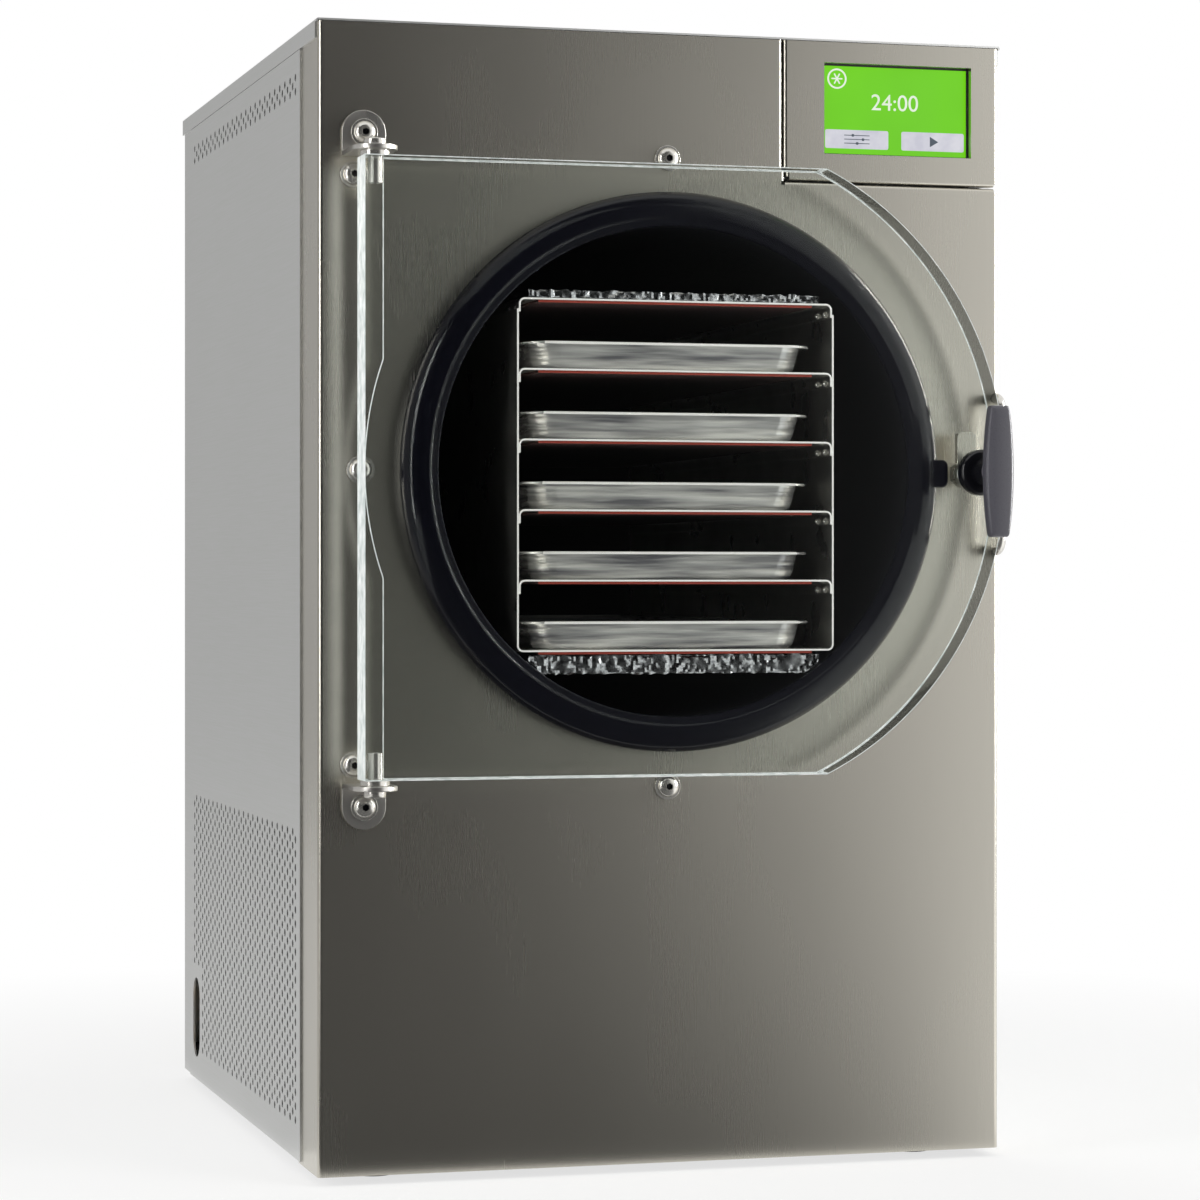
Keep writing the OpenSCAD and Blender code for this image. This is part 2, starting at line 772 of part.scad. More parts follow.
// The rocker rests pushed in at its lower end and tips over to the other
module switch_rocker() color("dimgray") place()
    translate([switch_at[0], cabinet_d - rocker_pivot, switch_at[1]]) rotate([-rocker_tilt, 0, 0]) {
        half = cavity_w / 2 - face_gap;
        tip = 9.4;
        slab_x(-half, half) polygon([
            [5.5, tip], [3.5, 0], [5.5, -tip], [0, -tip], [-4, -5], [-4, 5], [0, tip]
        ]);
        rod_x(pivot_r, -half - 1.5, half + 1.5);
    }

// ---- Chamber ----

module chamber_drum() color("dimgray") at_chamber() difference() {
    rod_y(drum_r, -rim_reach, drum_back);
    rod_y(chamber_r, -rim_reach - 1, drum_depth);
    rod_y(vacuum_r - 1.5, drum_depth - 1, drum_back + 1, vacuum_at[0], vacuum_at[1] - chamber_z);
    translate([0, port_y, -drum_r - 1]) cylinder(r = drain_r - 1.5, h = drum_t + 2);
}

// Ring round the drum, with an ear for each of its four bolts
module chamber_flange() color("gray") at_chamber() slab_y(front_t, front_t + flange_t) difference() {
    union() {
        circle(flange_r);
        for (a = [0 : 90 : 270]) rotate(a) {
            translate([bolt_circle, 0]) circle(ear_r);
            translate([drum_r, -ear_r]) square([bolt_circle - drum_r, 2 * ear_r]);
        }
    }
    circle(drum_r + fit);
    for (a = [0 : 90 : 270]) rotate(a) translate([bolt_circle, 0]) circle(bolt_hole_r);
}

module door_gasket() color("black") at_chamber() {
    lip_in = chamber_r;
    body_in = drum_r + fit;
    edge = 7;
    crown = 4;
    turned_y() difference() {
        union() {
            translate([lip_in, rim_reach + fit]) square([body_in - lip_in, gasket_reach - rim_reach - fit]);
            translate([body_in, face_gap]) square([gasket_r - edge - body_in, gasket_reach - face_gap]);
            translate([gasket_r - edge, face_gap + crown])
                square([edge, gasket_reach - face_gap - crown - edge]);
            translate([gasket_r - edge, gasket_reach - edge]) circle(edge);
            translate([gasket_r - edge, face_gap]) square([edge - crown, crown]);
            translate([gasket_r - crown, face_gap + crown]) circle(crown);
        }
        translate([0, gasket_reach]) square([gasket_r + 1, 20]);
    }
    // finger tab that pulls the gasket off its rim
    translate([gasket_r - 6, 0, 0]) slab_y(-gasket_reach + 1, -gasket_reach + 4)
        translate([6, 0]) round_rect(9, 26, 4);
}

module drum_insulation() color("slategray") at_chamber() difference() {
    rod_y(foam_r, foam_front, foam_back);
    rod_y(foam_in, foam_front - 1, drum_back + fit);
    rod_y(vacuum_r + 1, drum_back - 1, foam_back + 1, vacuum_at[0], vacuum_at[1] - chamber_z);
    for (p = [[0, port_y, drain_r], [suction_x, coil_last, pipe_r], [liquid_x, coil_start, pipe_r]])
        translate([p[0], p[1], -foam_r - 1]) cylinder(r = p[2] + 1, h = foam_t + 40);
}

// Rings round the drum, joined end to end at the bottom into one path
module cooling_coil() color("peru") at_chamber() {
    for (i = [0 : coil_rings - 1]) translate([0, coil_start + i * coil_pitch, 0])
        rotate([90, 0, 0]) rotate([0, 0, 270 + coil_gap_angle])
            rotate_extrude(angle = 360 - 2 * coil_gap_angle) translate([coil_r, 0]) circle(coil_tube_r);
    for (i = [0 : coil_rings - 2]) {
        side = i % 2 == 0 ? 1 : -1;
        y0 = coil_start + i * coil_pitch;
        rod_y(coil_tube_r + coil_joint, y0 - coil_tube_r - 1, y0 + coil_pitch + coil_tube_r + 1,
            side * coil_end_x, coil_end_z - chamber_z);
    }
}

// ---- Rack and trays ----

// Section of a sheet shelf in (X, Z), its top at z = 0, the sides turned down
module shelf_section() {
    difference() {
        union() {
            translate([rack_bend - shelf_half, -rack_bend])
                square([2 * (shelf_half - rack_bend), rack_bend]);
            translate([-shelf_half, -shelf_flange]) square([2 * shelf_half, shelf_flange - rack_bend]);
            for (s = [-1, 1]) translate([s * (shelf_half - rack_bend), -rack_bend]) circle(rack_bend);
        }
        translate([rack_t - shelf_half, -shelf_flange - 1])
            square([2 * (shelf_half - rack_t), shelf_flange + 1 - rack_bend]);
        translate([rack_bend - shelf_half, -shelf_flange])
            square([2 * (shelf_half - rack_bend), shelf_flange - rack_t]);
        for (s = [-1, 1]) translate([s * (shelf_half - rack_bend), -rack_bend]) circle(rack_bend - rack_t);
    }
}

// Section of the rack frame: the lowest shelf and both sides, in one fold
module frame_section() {
    r = rack_bend;
    side_h = rack_top + rack_low + rack_t - side_drop;
    translate([0, -rack_low - rack_t]) difference() {
        union() {
            translate([r - rack_half, 0]) square([rack_span - 2 * r, r]);
            translate([-rack_half, r]) square([rack_span, side_h - r]);
            for (s = [-1, 1]) translate([s * (rack_half - r), r]) circle(r);
        }
        translate([r - rack_half, rack_t]) square([rack_span - 2 * r, r]);
        translate([rack_t - rack_half, r]) square([rack_span - 2 * rack_t, side_h]);
        for (s = [-1, 1]) translate([s * (rack_half - r), r]) circle(r - rack_t);
    }
}

module rack_frame() color("lightgray") at_chamber()
    slab_y(-rack_front, rack_l - rack_front) frame_section();

module shelf(n) color("lightgray") at_chamber() translate([0, 0, n * level_pitch - rack_low])
    slab_y(-rack_front, rack_l - rack_front) shelf_section();

module heater_mats() color("firebrick") at_chamber() for (n = [0 : tray_count])
    translate([0, 0, n * level_pitch - rack_low - rack_t - mat_t])
        slab_y(2 - rack_front, rack_l - rack_front - 8)
            translate([-mat_half, 0]) square([2 * mat_half, mat_t]);

module foil_blankets() color("silver") at_chamber() {
    top_z = rack_top;
    low_z = -rack_low - rack_t - mat_t;
    slab_y(6 - rack_front, rack_l - rack_front)
        translate([-foil_half, top_z]) square([2 * foil_half, top_foil_t]);
    slab_y(4 - rack_front, rack_l - rack_front) intersection() {
        translate([-foil_half, low_z - low_foil_t]) square([2 * foil_half, low_foil_t]);
        circle(chamber_r - face_gap);
    }
}

// Tray outline in plan at a height, for its inside or its outside
module tray_plan(grow) {
    round_rect(2 * (tray_half + grow), tray_l - 2 * tray_rim + 2 * grow, tray_corner + grow);
}

// Pressed tray: flared wall, open top and a rolled rim
module tray(n) color("gainsboro") at_chamber()
    translate([0, tray_fronts[n] + tray_l / 2 - rack_front, n * level_pitch - rack_low]) {
        rim_h = 2.4;
        steps = 6;
        difference() {
            union() {
                for (i = [0 : steps - 1])
                    translate([0, 0, i * (tray_h - rim_h) / steps])
                        linear_extrude((tray_h - rim_h) / steps)
                            tray_plan(tray_flare * (i / (steps - 1) - 1));
                translate([0, 0, tray_h - rim_h]) linear_extrude(rim_h) tray_plan(tray_rim);
            }
            for (i = [0 : steps - 1])
                translate([0, 0, tray_t + i * (tray_h - tray_t) / steps])
                    linear_extrude((tray_h - tray_t) / steps + 0.1)
                        tray_plan(tray_flare * (i / (steps - 1) - 1) - tray_t);
        }
    }

// ---- Fasteners on the front panel ----

module panel_bolts() color("gainsboro") place()
    for (b = panel_bolt_list) button_bolt(b[0], b[1], b[2] + washer_t, 18);

module panel_washers() color("gainsboro") place()
    for (b = panel_bolt_list) rod_y(washer_r, -b[2] - washer_t, -b[2], b[0], b[1], bolt_r + fit);

module panel_nuts() color("gray") place() {
    for (b = chamber_bolts) hex_nut(b[0], front_t + flange_t, b[1], nut_t, nut_flats, bolt_r + fit);
    for (b = concat(side_bolts, bracket_bolts))
        hex_nut(b[0], front_t, b[1], nut_t, nut_flats, bolt_r + fit);
    for (z = keeper_legs) hex_nut(keeper_x, front_t, z, nut_t, keeper_nut_flats, keeper_r + fit);
}

// ---- Hinges ----

// Both hinges are one shape, the lower one turned over
module hinge_pair() for (s = [0, 1]) at_chamber() mirror([0, 0, s]) children();

module hinge_brackets() color("silver") hinge_pair() {
    depth = pin_reach + bracket_w / 2;
    top = bracket_bolt_z + bracket_w / 2;
    r = bracket_bend;
    difference() {
        slab_x(pin_x - bracket_w / 2, pin_x + bracket_w / 2) difference() {
            union() {
                translate([-depth, shelf_z]) square([depth - r, bracket_t]);
                translate([-bracket_t, shelf_z + r]) square([bracket_t, top - shelf_z - r]);
                translate([-r, shelf_z]) square([r, r]);
            }
            difference() {
                translate([-r, shelf_z]) square([r, r]);
                translate([-r, shelf_z + r]) circle(r);
            }
            translate([-r, shelf_z + r]) circle(r - bracket_t);
        }
        // rounded ends, about the bolt and about the pin
        slab_y(-depth, 1) difference() {
            translate([pin_x - bracket_w, bracket_bolt_z]) square([2 * bracket_w, bracket_w]);
            translate([pin_x, bracket_bolt_z]) circle(bracket_w / 2);
        }
        translate([0, 0, shelf_z - 1]) linear_extrude(bracket_t + 2) difference() {
            translate([pin_x - bracket_w, -pin_reach - bracket_w]) square([2 * bracket_w, bracket_w]);
            translate([pin_x, -pin_reach]) circle(bracket_w / 2);
        }
        rod_y(bolt_hole_r, -depth - 1, 1, pin_x, bracket_bolt_z);
        translate([pin_x, -pin_reach, shelf_z - 1]) cylinder(r = pin_r + fit, h = bracket_t + 2);
    }
}

module hinge_pins() color("gainsboro") hinge_pair() translate([pin_x, -pin_reach, 0]) {
    head_z = shelf_z + bracket_t;
    difference() {
        rotate_extrude() {
            translate([0, door_half_h - bush_l + 2]) square([pin_r, head_z - door_half_h + bush_l - 2]);
            translate([0, head_z]) square([7, 2.5]);
            translate([0, head_z + 2.5]) intersection() {
                circle(7);
                square([7, 1.8]);
            }
        }
        translate([0, 0, head_z + 1.8]) cylinder(d = 4.6, h = 4, $fn = 6);
    }
}

module hinge_washers() color("gray") hinge_pair()
    translate([pin_x, -pin_reach, door_half_h + side_gap]) difference() {
        cylinder(r = spacer_r, h = spacer_gap - 2 * side_gap);
        translate([0, 0, -1]) cylinder(r = pin_r + fit, h = spacer_gap + 2);
    }

// ---- Door ----

module hinge_bushes() color("silver") hinge_pair()
    translate([pin_x, -pin_reach, door_half_h - bush_l]) difference() {
        cylinder(r = bush_r, h = bush_l);
        translate([0, 0, -1]) cylinder(r = pin_r + run_fit, h = bush_l + 2);
    }

module door_outline() {
    translate([-door_left, -door_half_h]) square([door_left, 2 * door_half_h]);
    intersection() {
        circle(door_r);
        translate([0, -door_half_h]) square([door_r, 2 * door_half_h]);
    }
}

module door_plate() color("lightcyan", 0.35) at_chamber() difference() {
    slab_y(-door_face, -door_rear) door_outline();
    // relief behind the hinge edge, outside the disc that meets the gasket
    slab_y(-door_rear - relief_depth, 1) difference() {
        translate([-door_left - 1, -door_half_h - 1]) square([relief_w + 1, 2 * door_half_h + 2]);
        circle(relief_r);
    }
    for (s = [0, 1]) mirror([0, 0, s]) translate([pin_x, -pin_reach, 0]) {
        tip = bush_r * 0.6;
        rotate_extrude() polygon([
            [0, door_half_h + 1], [bush_r + fit / 3, door_half_h + 1],
            [bush_r + fit / 3, door_half_h - bush_l], [0, door_half_h - bush_l - tip]
        ]);
    }
    rod_y(shaft_r + run_fit, -door_face - 1, -door_rear + 1, latch_x, 0);
}

// ---- Latch ----

module latch_housing() color("black") at_chamber() turned_y(latch_x, 0) difference() {
    union() {
        translate([0, door_face]) square([housing_r, housing_t - housing_edge]);
        translate([0, door_face]) square([housing_r - housing_edge, housing_t]);
        translate([housing_r - housing_edge, door_face + housing_t - housing_edge]) circle(housing_edge);
    }
    translate([0, door_face - 1]) square([shaft_r + run_fit, housing_t + 2]);
}

module latch_handle() color("black") at_chamber() difference() {
    union() {
        turned_y(latch_x, 0) polygon([
            [0, hub_start], [hub_r, hub_start], [hub_r, hub_start + 6],
            [hub_r + hub_flare, handle_back - 2], [hub_r + hub_flare, handle_back + 1],
            [hub_r, handle_back + 4], [0, handle_back + 4]
        ]);
        translate([latch_x, -handle_back - handle_t / 2, 0]) hull() {
            for (s = [-1, 1], q = [-1, 1])
                translate([q * (handle_end_w / 2 - 3), 0, s * (handle_l / 2 - 3)])
                    rotate([90, 0, 0]) cylinder(r = 3, h = handle_t - 3, center = true, $fn = 24);
            for (q = [-1, 1]) translate([q * (handle_w / 2 - 3.2), 0, 0])
                rotate([90, 0, 0]) cylinder(r = 3.2, h = handle_t, center = true, $fn = 24);
        }
    }
    rod_y(shaft_r + fit, -shaft_front - fit, 0, latch_x, 0);
}

module latch_shaft() color("silver") at_chamber() {
    rod_y(shaft_r, -shaft_front, -shaft_rear, latch_x, 0);
    hex_nut(latch_x, -shaft_rear - latch_nut_t, 0, latch_nut_t, 16, shaft_r - 1);
}

// The tongue points up beside the handle bar, and turns a quarter to lock
module latch_tongue() color("gray") at_chamber() difference() {
    slab_y(-tongue_front, tongue_t - tongue_front) {
        translate([latch_x - tongue_w / 2, 0]) square([tongue_w, tongue_l - 3]);
        translate([latch_x - tongue_w / 2 + 3, 0]) square([tongue_w - 6, tongue_l]);
        for (s = [-1, 1]) translate([latch_x + s * (tongue_w / 2 - 3), tongue_l - 3]) circle(3);
        translate([latch_x, 0]) circle(shaft_r + 3);
    }
    rod_y(shaft_r + fit / 3, -tongue_front - 1, tongue_t - tongue_front + 1, latch_x, 0);
}

module latch_keeper() color("silver") place() bent_tube([
    [keeper_x, front_t + nut_t + 1, keeper_legs[0]], [keeper_x, -keeper_reach, keeper_legs[0]],
    [keeper_x, -keeper_reach, keeper_legs[1]], [keeper_x, front_t + nut_t + 1, keeper_legs[1]]
], keeper_r, keeper_bend);

// ---- Refrigeration set ----

module compressor() color("black") place() translate([compressor_at[0], compressor_at[1], can_z]) {
    dome = 28;
    dome_r = (compressor_r * compressor_r + dome * dome) / (2 * dome);
    rotate_extrude() {
        intersection() {
            translate([0, compressor_h - dome_r]) circle(dome_r, $fn = 144);
            translate([0, compressor_h - dome]) square([compressor_r, dome]);
        }
        square([compressor_r, compressor_h - dome]);
        translate([0, compressor_h * 0.55]) square([compressor_r + 3, 6]);
    }
    translate([0, 0, -3]) linear_extrude(3) round_rect(2 * compressor_r + 30, 116, 12);
    for (s = [-1, 1]) translate([s * stub_x, 0, compressor_h - 40])
        cylinder(r = pipe_r, h = stub_top - can_z - compressor_h + 40);
    translate([-20, compressor_r - 8, 40]) cube([40, 24, 52]);
}

module compressor_mounts() color("dimgray") place()
    translate([compressor_at[0], compressor_at[1], base_top])
        for (sx = [-1, 1], sy = [-1, 1]) translate([sx * compressor_r, sy * 46, 0]) rotate_extrude() {
            square([12, mount_h]);
        }

// Heights of the condenser's tube rows
function row_z(i) = condenser_z + 14 + i * (condenser_h - 28) / (condenser_rows - 1);

// Block of fins on two feet, with a return bend at both ends of each row
module condenser() color("darkgray") place() translate([condenser_x, condenser_y, 0]) {
    translate([0, 0, condenser_z]) cube([condenser_t, condenser_l, condenser_h]);
    for (i = [0 : condenser_rows - 1], y = [-bend_out, condenser_l])
        translate([condenser_t / 2 - 9, y, row_z(i) - 4]) cube([18, bend_out, 8]);
    for (y = [10, condenser_l - 30])
        translate([4, y, base_top]) cube([condenser_t - 8, 20, condenser_z - base_top]);
}

module fan_shroud() color("dimgray") place() {
    strap_x = motor_x + motor_l;
    difference() {
        union() {
            slab_x(shroud_x, shroud_x + shroud_t) translate([fan_at[0], fan_at[1]])
                square([condenser_l - 20, condenser_h], center = true);
            rod_x(fan_r + 5, shroud_x, shroud_x + collar_l, fan_at[0], fan_at[1]);
        }
        rod_x(fan_r + 3, shroud_x - 1, shroud_x + collar_l + 1, fan_at[0], fan_at[1]);
    }
    // strap that carries the motor from behind
    slab_x(strap_x, strap_x + 2)
        translate(fan_at) square([2 * fan_r + 40, 28], center = true);
    for (s = [-1, 1]) translate([shroud_x, fan_at[0] + s * (fan_r + 19) - 1, fan_at[1] - 14])
        cube([strap_x - shroud_x + 2, 2, 28]);
}

module fan_motor() color("gray") place() {
    rod_x(motor_r, motor_x, motor_x + motor_l, fan_at[0], fan_at[1], fan_shaft_r + run_fit);
}

module fan_shaft() color("silver") place()
    rod_x(fan_shaft_r, fan_x - 8, motor_x + motor_l - 6, fan_at[0], fan_at[1]);

module fan_blade() color("gray") place() translate([fan_x, fan_at[0], fan_at[1]]) difference() {
    union() {
        rod_x(fan_hub_r, -7, 9);
        intersection() {
            for (i = [0 : fan_blades - 1]) rotate([i * 360 / fan_blades, 0, 0])
                translate([1, 0, fan_hub_r - 4]) rotate([0, 0, blade_angle])
                    translate([-1, -24, 0]) cube([2, 48, fan_r]);
            rod_x(fan_r, -11, 13);
        }
    }
    rod_x(fan_shaft_r + fit / 3, -20, 20);
}

module filter_drier() color("peru") place() translate([drier_at[0], drier_at[1], drier_z]) rotate_extrude()
    polygon([
        [0, 0], [pipe_r, 0], [pipe_r, 6], [12, 16], [12, drier_l - 16],
        [pipe_r, drier_l - 6], [pipe_r, drier_l], [0, drier_l]
    ]);

// Hot gas line, liquid line and suction line
module refrigerant_pipes() color("peru") place() {
    mid_x = condenser_x + condenser_t / 2;
    out_x = compressor_at[0] + stub_x;
    in_x = compressor_at[0] - stub_x;
    gas_y = condenser_y + condenser_l + 32;
    gas_z = row_z(condenser_rows - 1);
    liquid_z = row_z(0);
    bent_tube([
        [out_x, compressor_at[1], stub_top], [out_x, compressor_at[1], pipe_level],
        [out_x, gas_y, pipe_level], [mid_x, gas_y, pipe_level],
        [mid_x, gas_y, gas_z], [mid_x, condenser_y + condenser_l + bend_out, gas_z]
    ], pipe_r, pipe_bend);
    bent_tube([
        [mid_x, condenser_y - bend_out, liquid_z], [mid_x, drier_at[1], liquid_z],
        [drier_at[0], drier_at[1], liquid_z], [drier_at[0], drier_at[1], drier_z]
    ], pipe_r, pipe_bend);
    bent_tube([
        [drier_at[0], drier_at[1], drier_z + drier_l], [drier_at[0], drier_at[1], pipe_level],
        [liquid_x, drier_at[1], pipe_level], [liquid_x, coil_start, pipe_level],
        [liquid_x, coil_start, coil_end_z - coil_tube_r - face_gap]
    ], pipe_r, pipe_bend);
    bent_tube([
        [in_x, compressor_at[1], stub_top], [in_x, compressor_at[1], suction_level],
        [suction_x, compressor_at[1], suction_level], [suction_x, coil_last, suction_level],
        [suction_x, coil_last, coil_end_z - coil_tube_r - face_gap]
    ], pipe_r, pipe_bend);
}

// ---- Hose ports ----

// Bracket that stands on the base tray and holds both fittings
module port_plate() color("gray") place() difference() {
    union() {
        slab_x(port_x, port_x + port_plate_t) translate([port_y - 26, base_top]) square([52, 88]);
        translate([port_x, port_y - 26, base_top]) cube([26, 52, port_plate_t]);
    }
    rod_x(vacuum_r + fit, port_x - 1, port_x + 4, port_y, vacuum_z);
    rod_x(drain_r + fit, port_x - 1, port_x + 4, port_y, drain_z);
}

// Fitting with a hexagon against the plate and a bare nose for the hose
module port_fitting(z, r, bore, flats) color("goldenrod") place() difference() {
    union() {
        rod_x(r, port_x - port_reach, port_x + port_plate_t + 10, port_y, z);
        translate([port_x - 6, port_y, z]) rotate([0, 90, 0]) cylinder(d = flats / cos(30), h = 6, $fn = 6);
    }
    rod_x(bore, port_x - port_reach - 1, port_x + port_plate_t + 11, port_y, z);
}

module vacuum_port() port_fitting(vacuum_z, vacuum_r, vacuum_r - 2.5, 20);
module drain_port() port_fitting(drain_z, drain_r, drain_r - 2, 17);

module chamber_tubes() color("lightgray") place() {
    start = port_x + port_plate_t + 10;
    vacuum_path = [
        [start, port_y, vacuum_z], [vacuum_at[0], port_y, vacuum_z], [vacuum_at[0], tube_back, vacuum_z],
        [vacuum_at[0], tube_back, vacuum_at[1]], [vacuum_at[0], drum_back, vacuum_at[1]]
    ];
    drain_path = [
        [start, port_y, drain_z], [0, port_y, drain_z], [0, port_y, chamber_z - drum_r - face_gap]
    ];
    bent_tube(vacuum_path, vacuum_r, tube_bend);
    bent_tube(drain_path, drain_r, tube_bend);
}

front_panel();
left_side_panel();
right_side_panel();
top_cover();
back_panel();
base_tray();
feet();
control_fascia();
display_bezel();
display_screen();
control_board();
power_supply();
chamber_drum();
chamber_flange();
door_gasket();
drum_insulation();
cooling_coil();
rack_frame();
shelf(1);  // shelf_1
shelf(2);  // shelf_2
shelf(3);  // shelf_3
shelf(4);  // shelf_4
shelf(5);  // shelf_5
heater_mats();
foil_blankets();
tray(0);  // tray_1
tray(1);  // tray_2
tray(2);  // tray_3
tray(3);  // tray_4
tray(4);  // tray_5
panel_bolts();
panel_washers();
panel_nuts();
hinge_brackets();
hinge_pins();
hinge_washers();
latch_keeper();
compressor();
compressor_mounts();
condenser();
fan_shroud();
fan_motor();
filter_drier();
refrigerant_pipes();
port_plate();
vacuum_port();
drain_port();
chamber_tubes();
power_inlet();
switch_housing();
back_screws();
door_plate();
hinge_bushes();
latch_housing();
latch_handle();
latch_shaft();
latch_tongue();
fan_blade();
fan_shaft();
switch_rocker();
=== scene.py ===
import math

import bmesh
import bpy
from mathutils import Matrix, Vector, noise


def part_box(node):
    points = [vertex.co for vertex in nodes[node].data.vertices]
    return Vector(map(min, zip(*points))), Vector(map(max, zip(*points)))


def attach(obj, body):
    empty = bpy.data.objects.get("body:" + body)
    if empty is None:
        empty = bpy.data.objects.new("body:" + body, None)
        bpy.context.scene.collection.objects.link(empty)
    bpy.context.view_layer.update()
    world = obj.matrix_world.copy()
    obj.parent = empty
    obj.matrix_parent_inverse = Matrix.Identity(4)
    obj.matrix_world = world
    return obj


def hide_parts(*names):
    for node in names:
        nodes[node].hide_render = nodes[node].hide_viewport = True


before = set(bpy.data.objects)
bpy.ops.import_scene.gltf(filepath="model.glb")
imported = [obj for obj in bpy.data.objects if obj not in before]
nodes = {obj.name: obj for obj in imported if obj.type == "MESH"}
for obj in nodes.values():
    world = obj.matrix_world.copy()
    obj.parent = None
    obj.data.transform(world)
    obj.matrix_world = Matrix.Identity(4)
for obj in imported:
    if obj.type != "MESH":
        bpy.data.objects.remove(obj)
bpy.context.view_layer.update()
print("frame loaded:", len(nodes), "nodes")

mm = 0.001

# the planes and the axis that everything else is measured from
panelLow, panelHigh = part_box("front_panel")
panelFront = panelLow.y
drumLow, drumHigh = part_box("chamber_drum")
chamberZ = (drumLow.z + drumHigh.z) / 2


# a point in mm: right of the middle, ahead of the front panel, above the chamber's axis
def place(x, ahead, up):
    return Vector((x * mm, panelFront - ahead * mm, chamberZ + up * mm))


# shader helpers

def linear(hexColour):
    parts = [int(hexColour[i:i + 2], 16) / 255 for i in (1, 3, 5)]
    return [c / 12.92 if c <= 0.04045 else ((c + 0.055) / 1.055) ** 2.4 for c in parts] + [1.0]


# a node with its settings, by property or by socket, and its links
def addNode(tree, kind, settings=None, links=None):
    node = tree.nodes.new("ShaderNode" + kind)
    for name, value in (settings or {}).items():
        if isinstance(name, str) and hasattr(node, name):
            setattr(node, name, value)
        else:
            node.inputs[name].default_value = value
    for name, socket in (links or {}).items():
        tree.links.new(socket, node.inputs[name])
    return node


# sockets are named with an underscore for each space
def newMaterial(name, hexColour, metallic=0.0, roughness=0.5, **sockets):
    material = bpy.data.materials.new(name)
    material.use_nodes = True
    shader = material.node_tree.nodes["Principled BSDF"]
    shader.inputs["Base Color"].default_value = linear(hexColour)
    shader.inputs["Metallic"].default_value = metallic
    shader.inputs["Roughness"].default_value = roughness
    for socket, value in sockets.items():
        shader.inputs[socket.replace("_", " ")].default_value = value
    material.diffuse_color = linear(hexColour)
    return material, material.node_tree, shader


# noise whose cells are so many mm along X, Y and Z
def noiseOf(tree, sizes, detail=2.0):
    coords = addNode(tree, "TexCoord")
    scaled = addNode(tree, "Mapping", {"Scale": [1 / (size * mm) for size in sizes]},
                     {"Vector": coords.outputs["Object"]})
    return addNode(tree, "TexNoise", {"Scale": 1.0, "Detail": detail},
                   {"Vector": scaled.outputs["Vector"]}).outputs["Fac"]


# noise mostly lies between 0.3 and 0.7, and is spread from there
def spread(tree, value, low, high):
    return addNode(tree, "MapRange", {"From Min": 0.3, "From Max": 0.7, "To Min": low, "To Max": high},
                   {"Value": value}).outputs["Result"]


# a socket's colour, which goes from first to second as the pattern does
def colourBy(tree, socket, pattern, first, second):
    mix = addNode(tree, "Mix", {"data_type": "RGBA"})
    mix.inputs[6].default_value = linear(first)     # A and B of the colour mix
    mix.inputs[7].default_value = linear(second)
    tree.links.new(spread(tree, pattern, 0, 1), mix.inputs[0])
    tree.links.new(mix.outputs[2], socket)


def addBump(tree, shader, height, strength, distance):
    bump = addNode(tree, "Bump", {"Strength": strength, "Distance": distance}, {"Height": height})
    tree.links.new(bump.outputs["Normal"], shader.inputs["Normal"])


# finishes

# brushed stainless sheet: long fine streaks, and slow clouds where the belt pressed harder
def brushedSteel(name, light, dark, grain, roughness):
    material, tree, shader = newMaterial(name, light, metallic=1.0, roughness=roughness)
    streaks = noiseOf(tree, grain, detail=4)
    clouds = noiseOf(tree, (90, 90, 160), detail=1)
    colourBy(tree, shader.inputs["Base Color"], streaks, light, dark)
    rough = addNode(tree, "Math", {"operation": "ADD"},
                    {0: spread(tree, streaks, roughness - 0.003, roughness + 0.003),
                     1: spread(tree, clouds, -0.008, 0.008)})
    tree.links.new(rough.outputs["Value"], shader.inputs["Roughness"])
    return material


# pressed sheet: waves of so many mm along X, Y and Z, and so many mm high, left by the press
def pressedSteel(name, light, dark, metallic, roughness, waves, height):
    material, tree, shader = newMaterial(name, light, metallic=metallic, roughness=roughness)
    wave = noiseOf(tree, waves, detail=2)
    colourBy(tree, shader.inputs["Base Color"], wave, light, dark)
    tree.links.new(spread(tree, wave, roughness - 0.04, roughness + 0.05), shader.inputs["Roughness"])
    addBump(tree, shader, wave, 0.6, height * mm)
    return material


# painted or zinc-coated sheet: an even tone over a fine orange peel, about 1.5 mm across
def coatedSheet(name, light, dark, metallic, roughness, **sockets):
    material, tree, shader = newMaterial(name, light, metallic, roughness, **sockets)
    peel = noiseOf(tree, (1.5, 1.5, 1.5))
    clouds = noiseOf(tree, (140, 140, 140))
    colourBy(tree, shader.inputs["Base Color"], clouds, light, dark)
    tree.links.new(spread(tree, peel, roughness - 0.03, roughness + 0.03), shader.inputs["Roughness"])
    addBump(tree, shader, peel, 0.08, 0.05 * mm)
    return material


# turned, drawn or moulded things: a grain of so many mm in the colour, the gloss and a faint bump
def grainedFinish(name, light, dark, metallic, roughness, grainSize, bump, **sockets):
    material, tree, shader = newMaterial(name, light, metallic, roughness, **sockets)
    grain = noiseOf(tree, (grainSize, grainSize, grainSize), detail=3)
    colourBy(tree, shader.inputs["Base Color"], grain, light, dark)
    dull = spread(tree, grain, roughness * 0.85, min(1, roughness * 1.15))
    tree.links.new(dull, shader.inputs["Roughness"])
    addBump(tree, shader, grain, bump, 0.08 * mm)
    return material


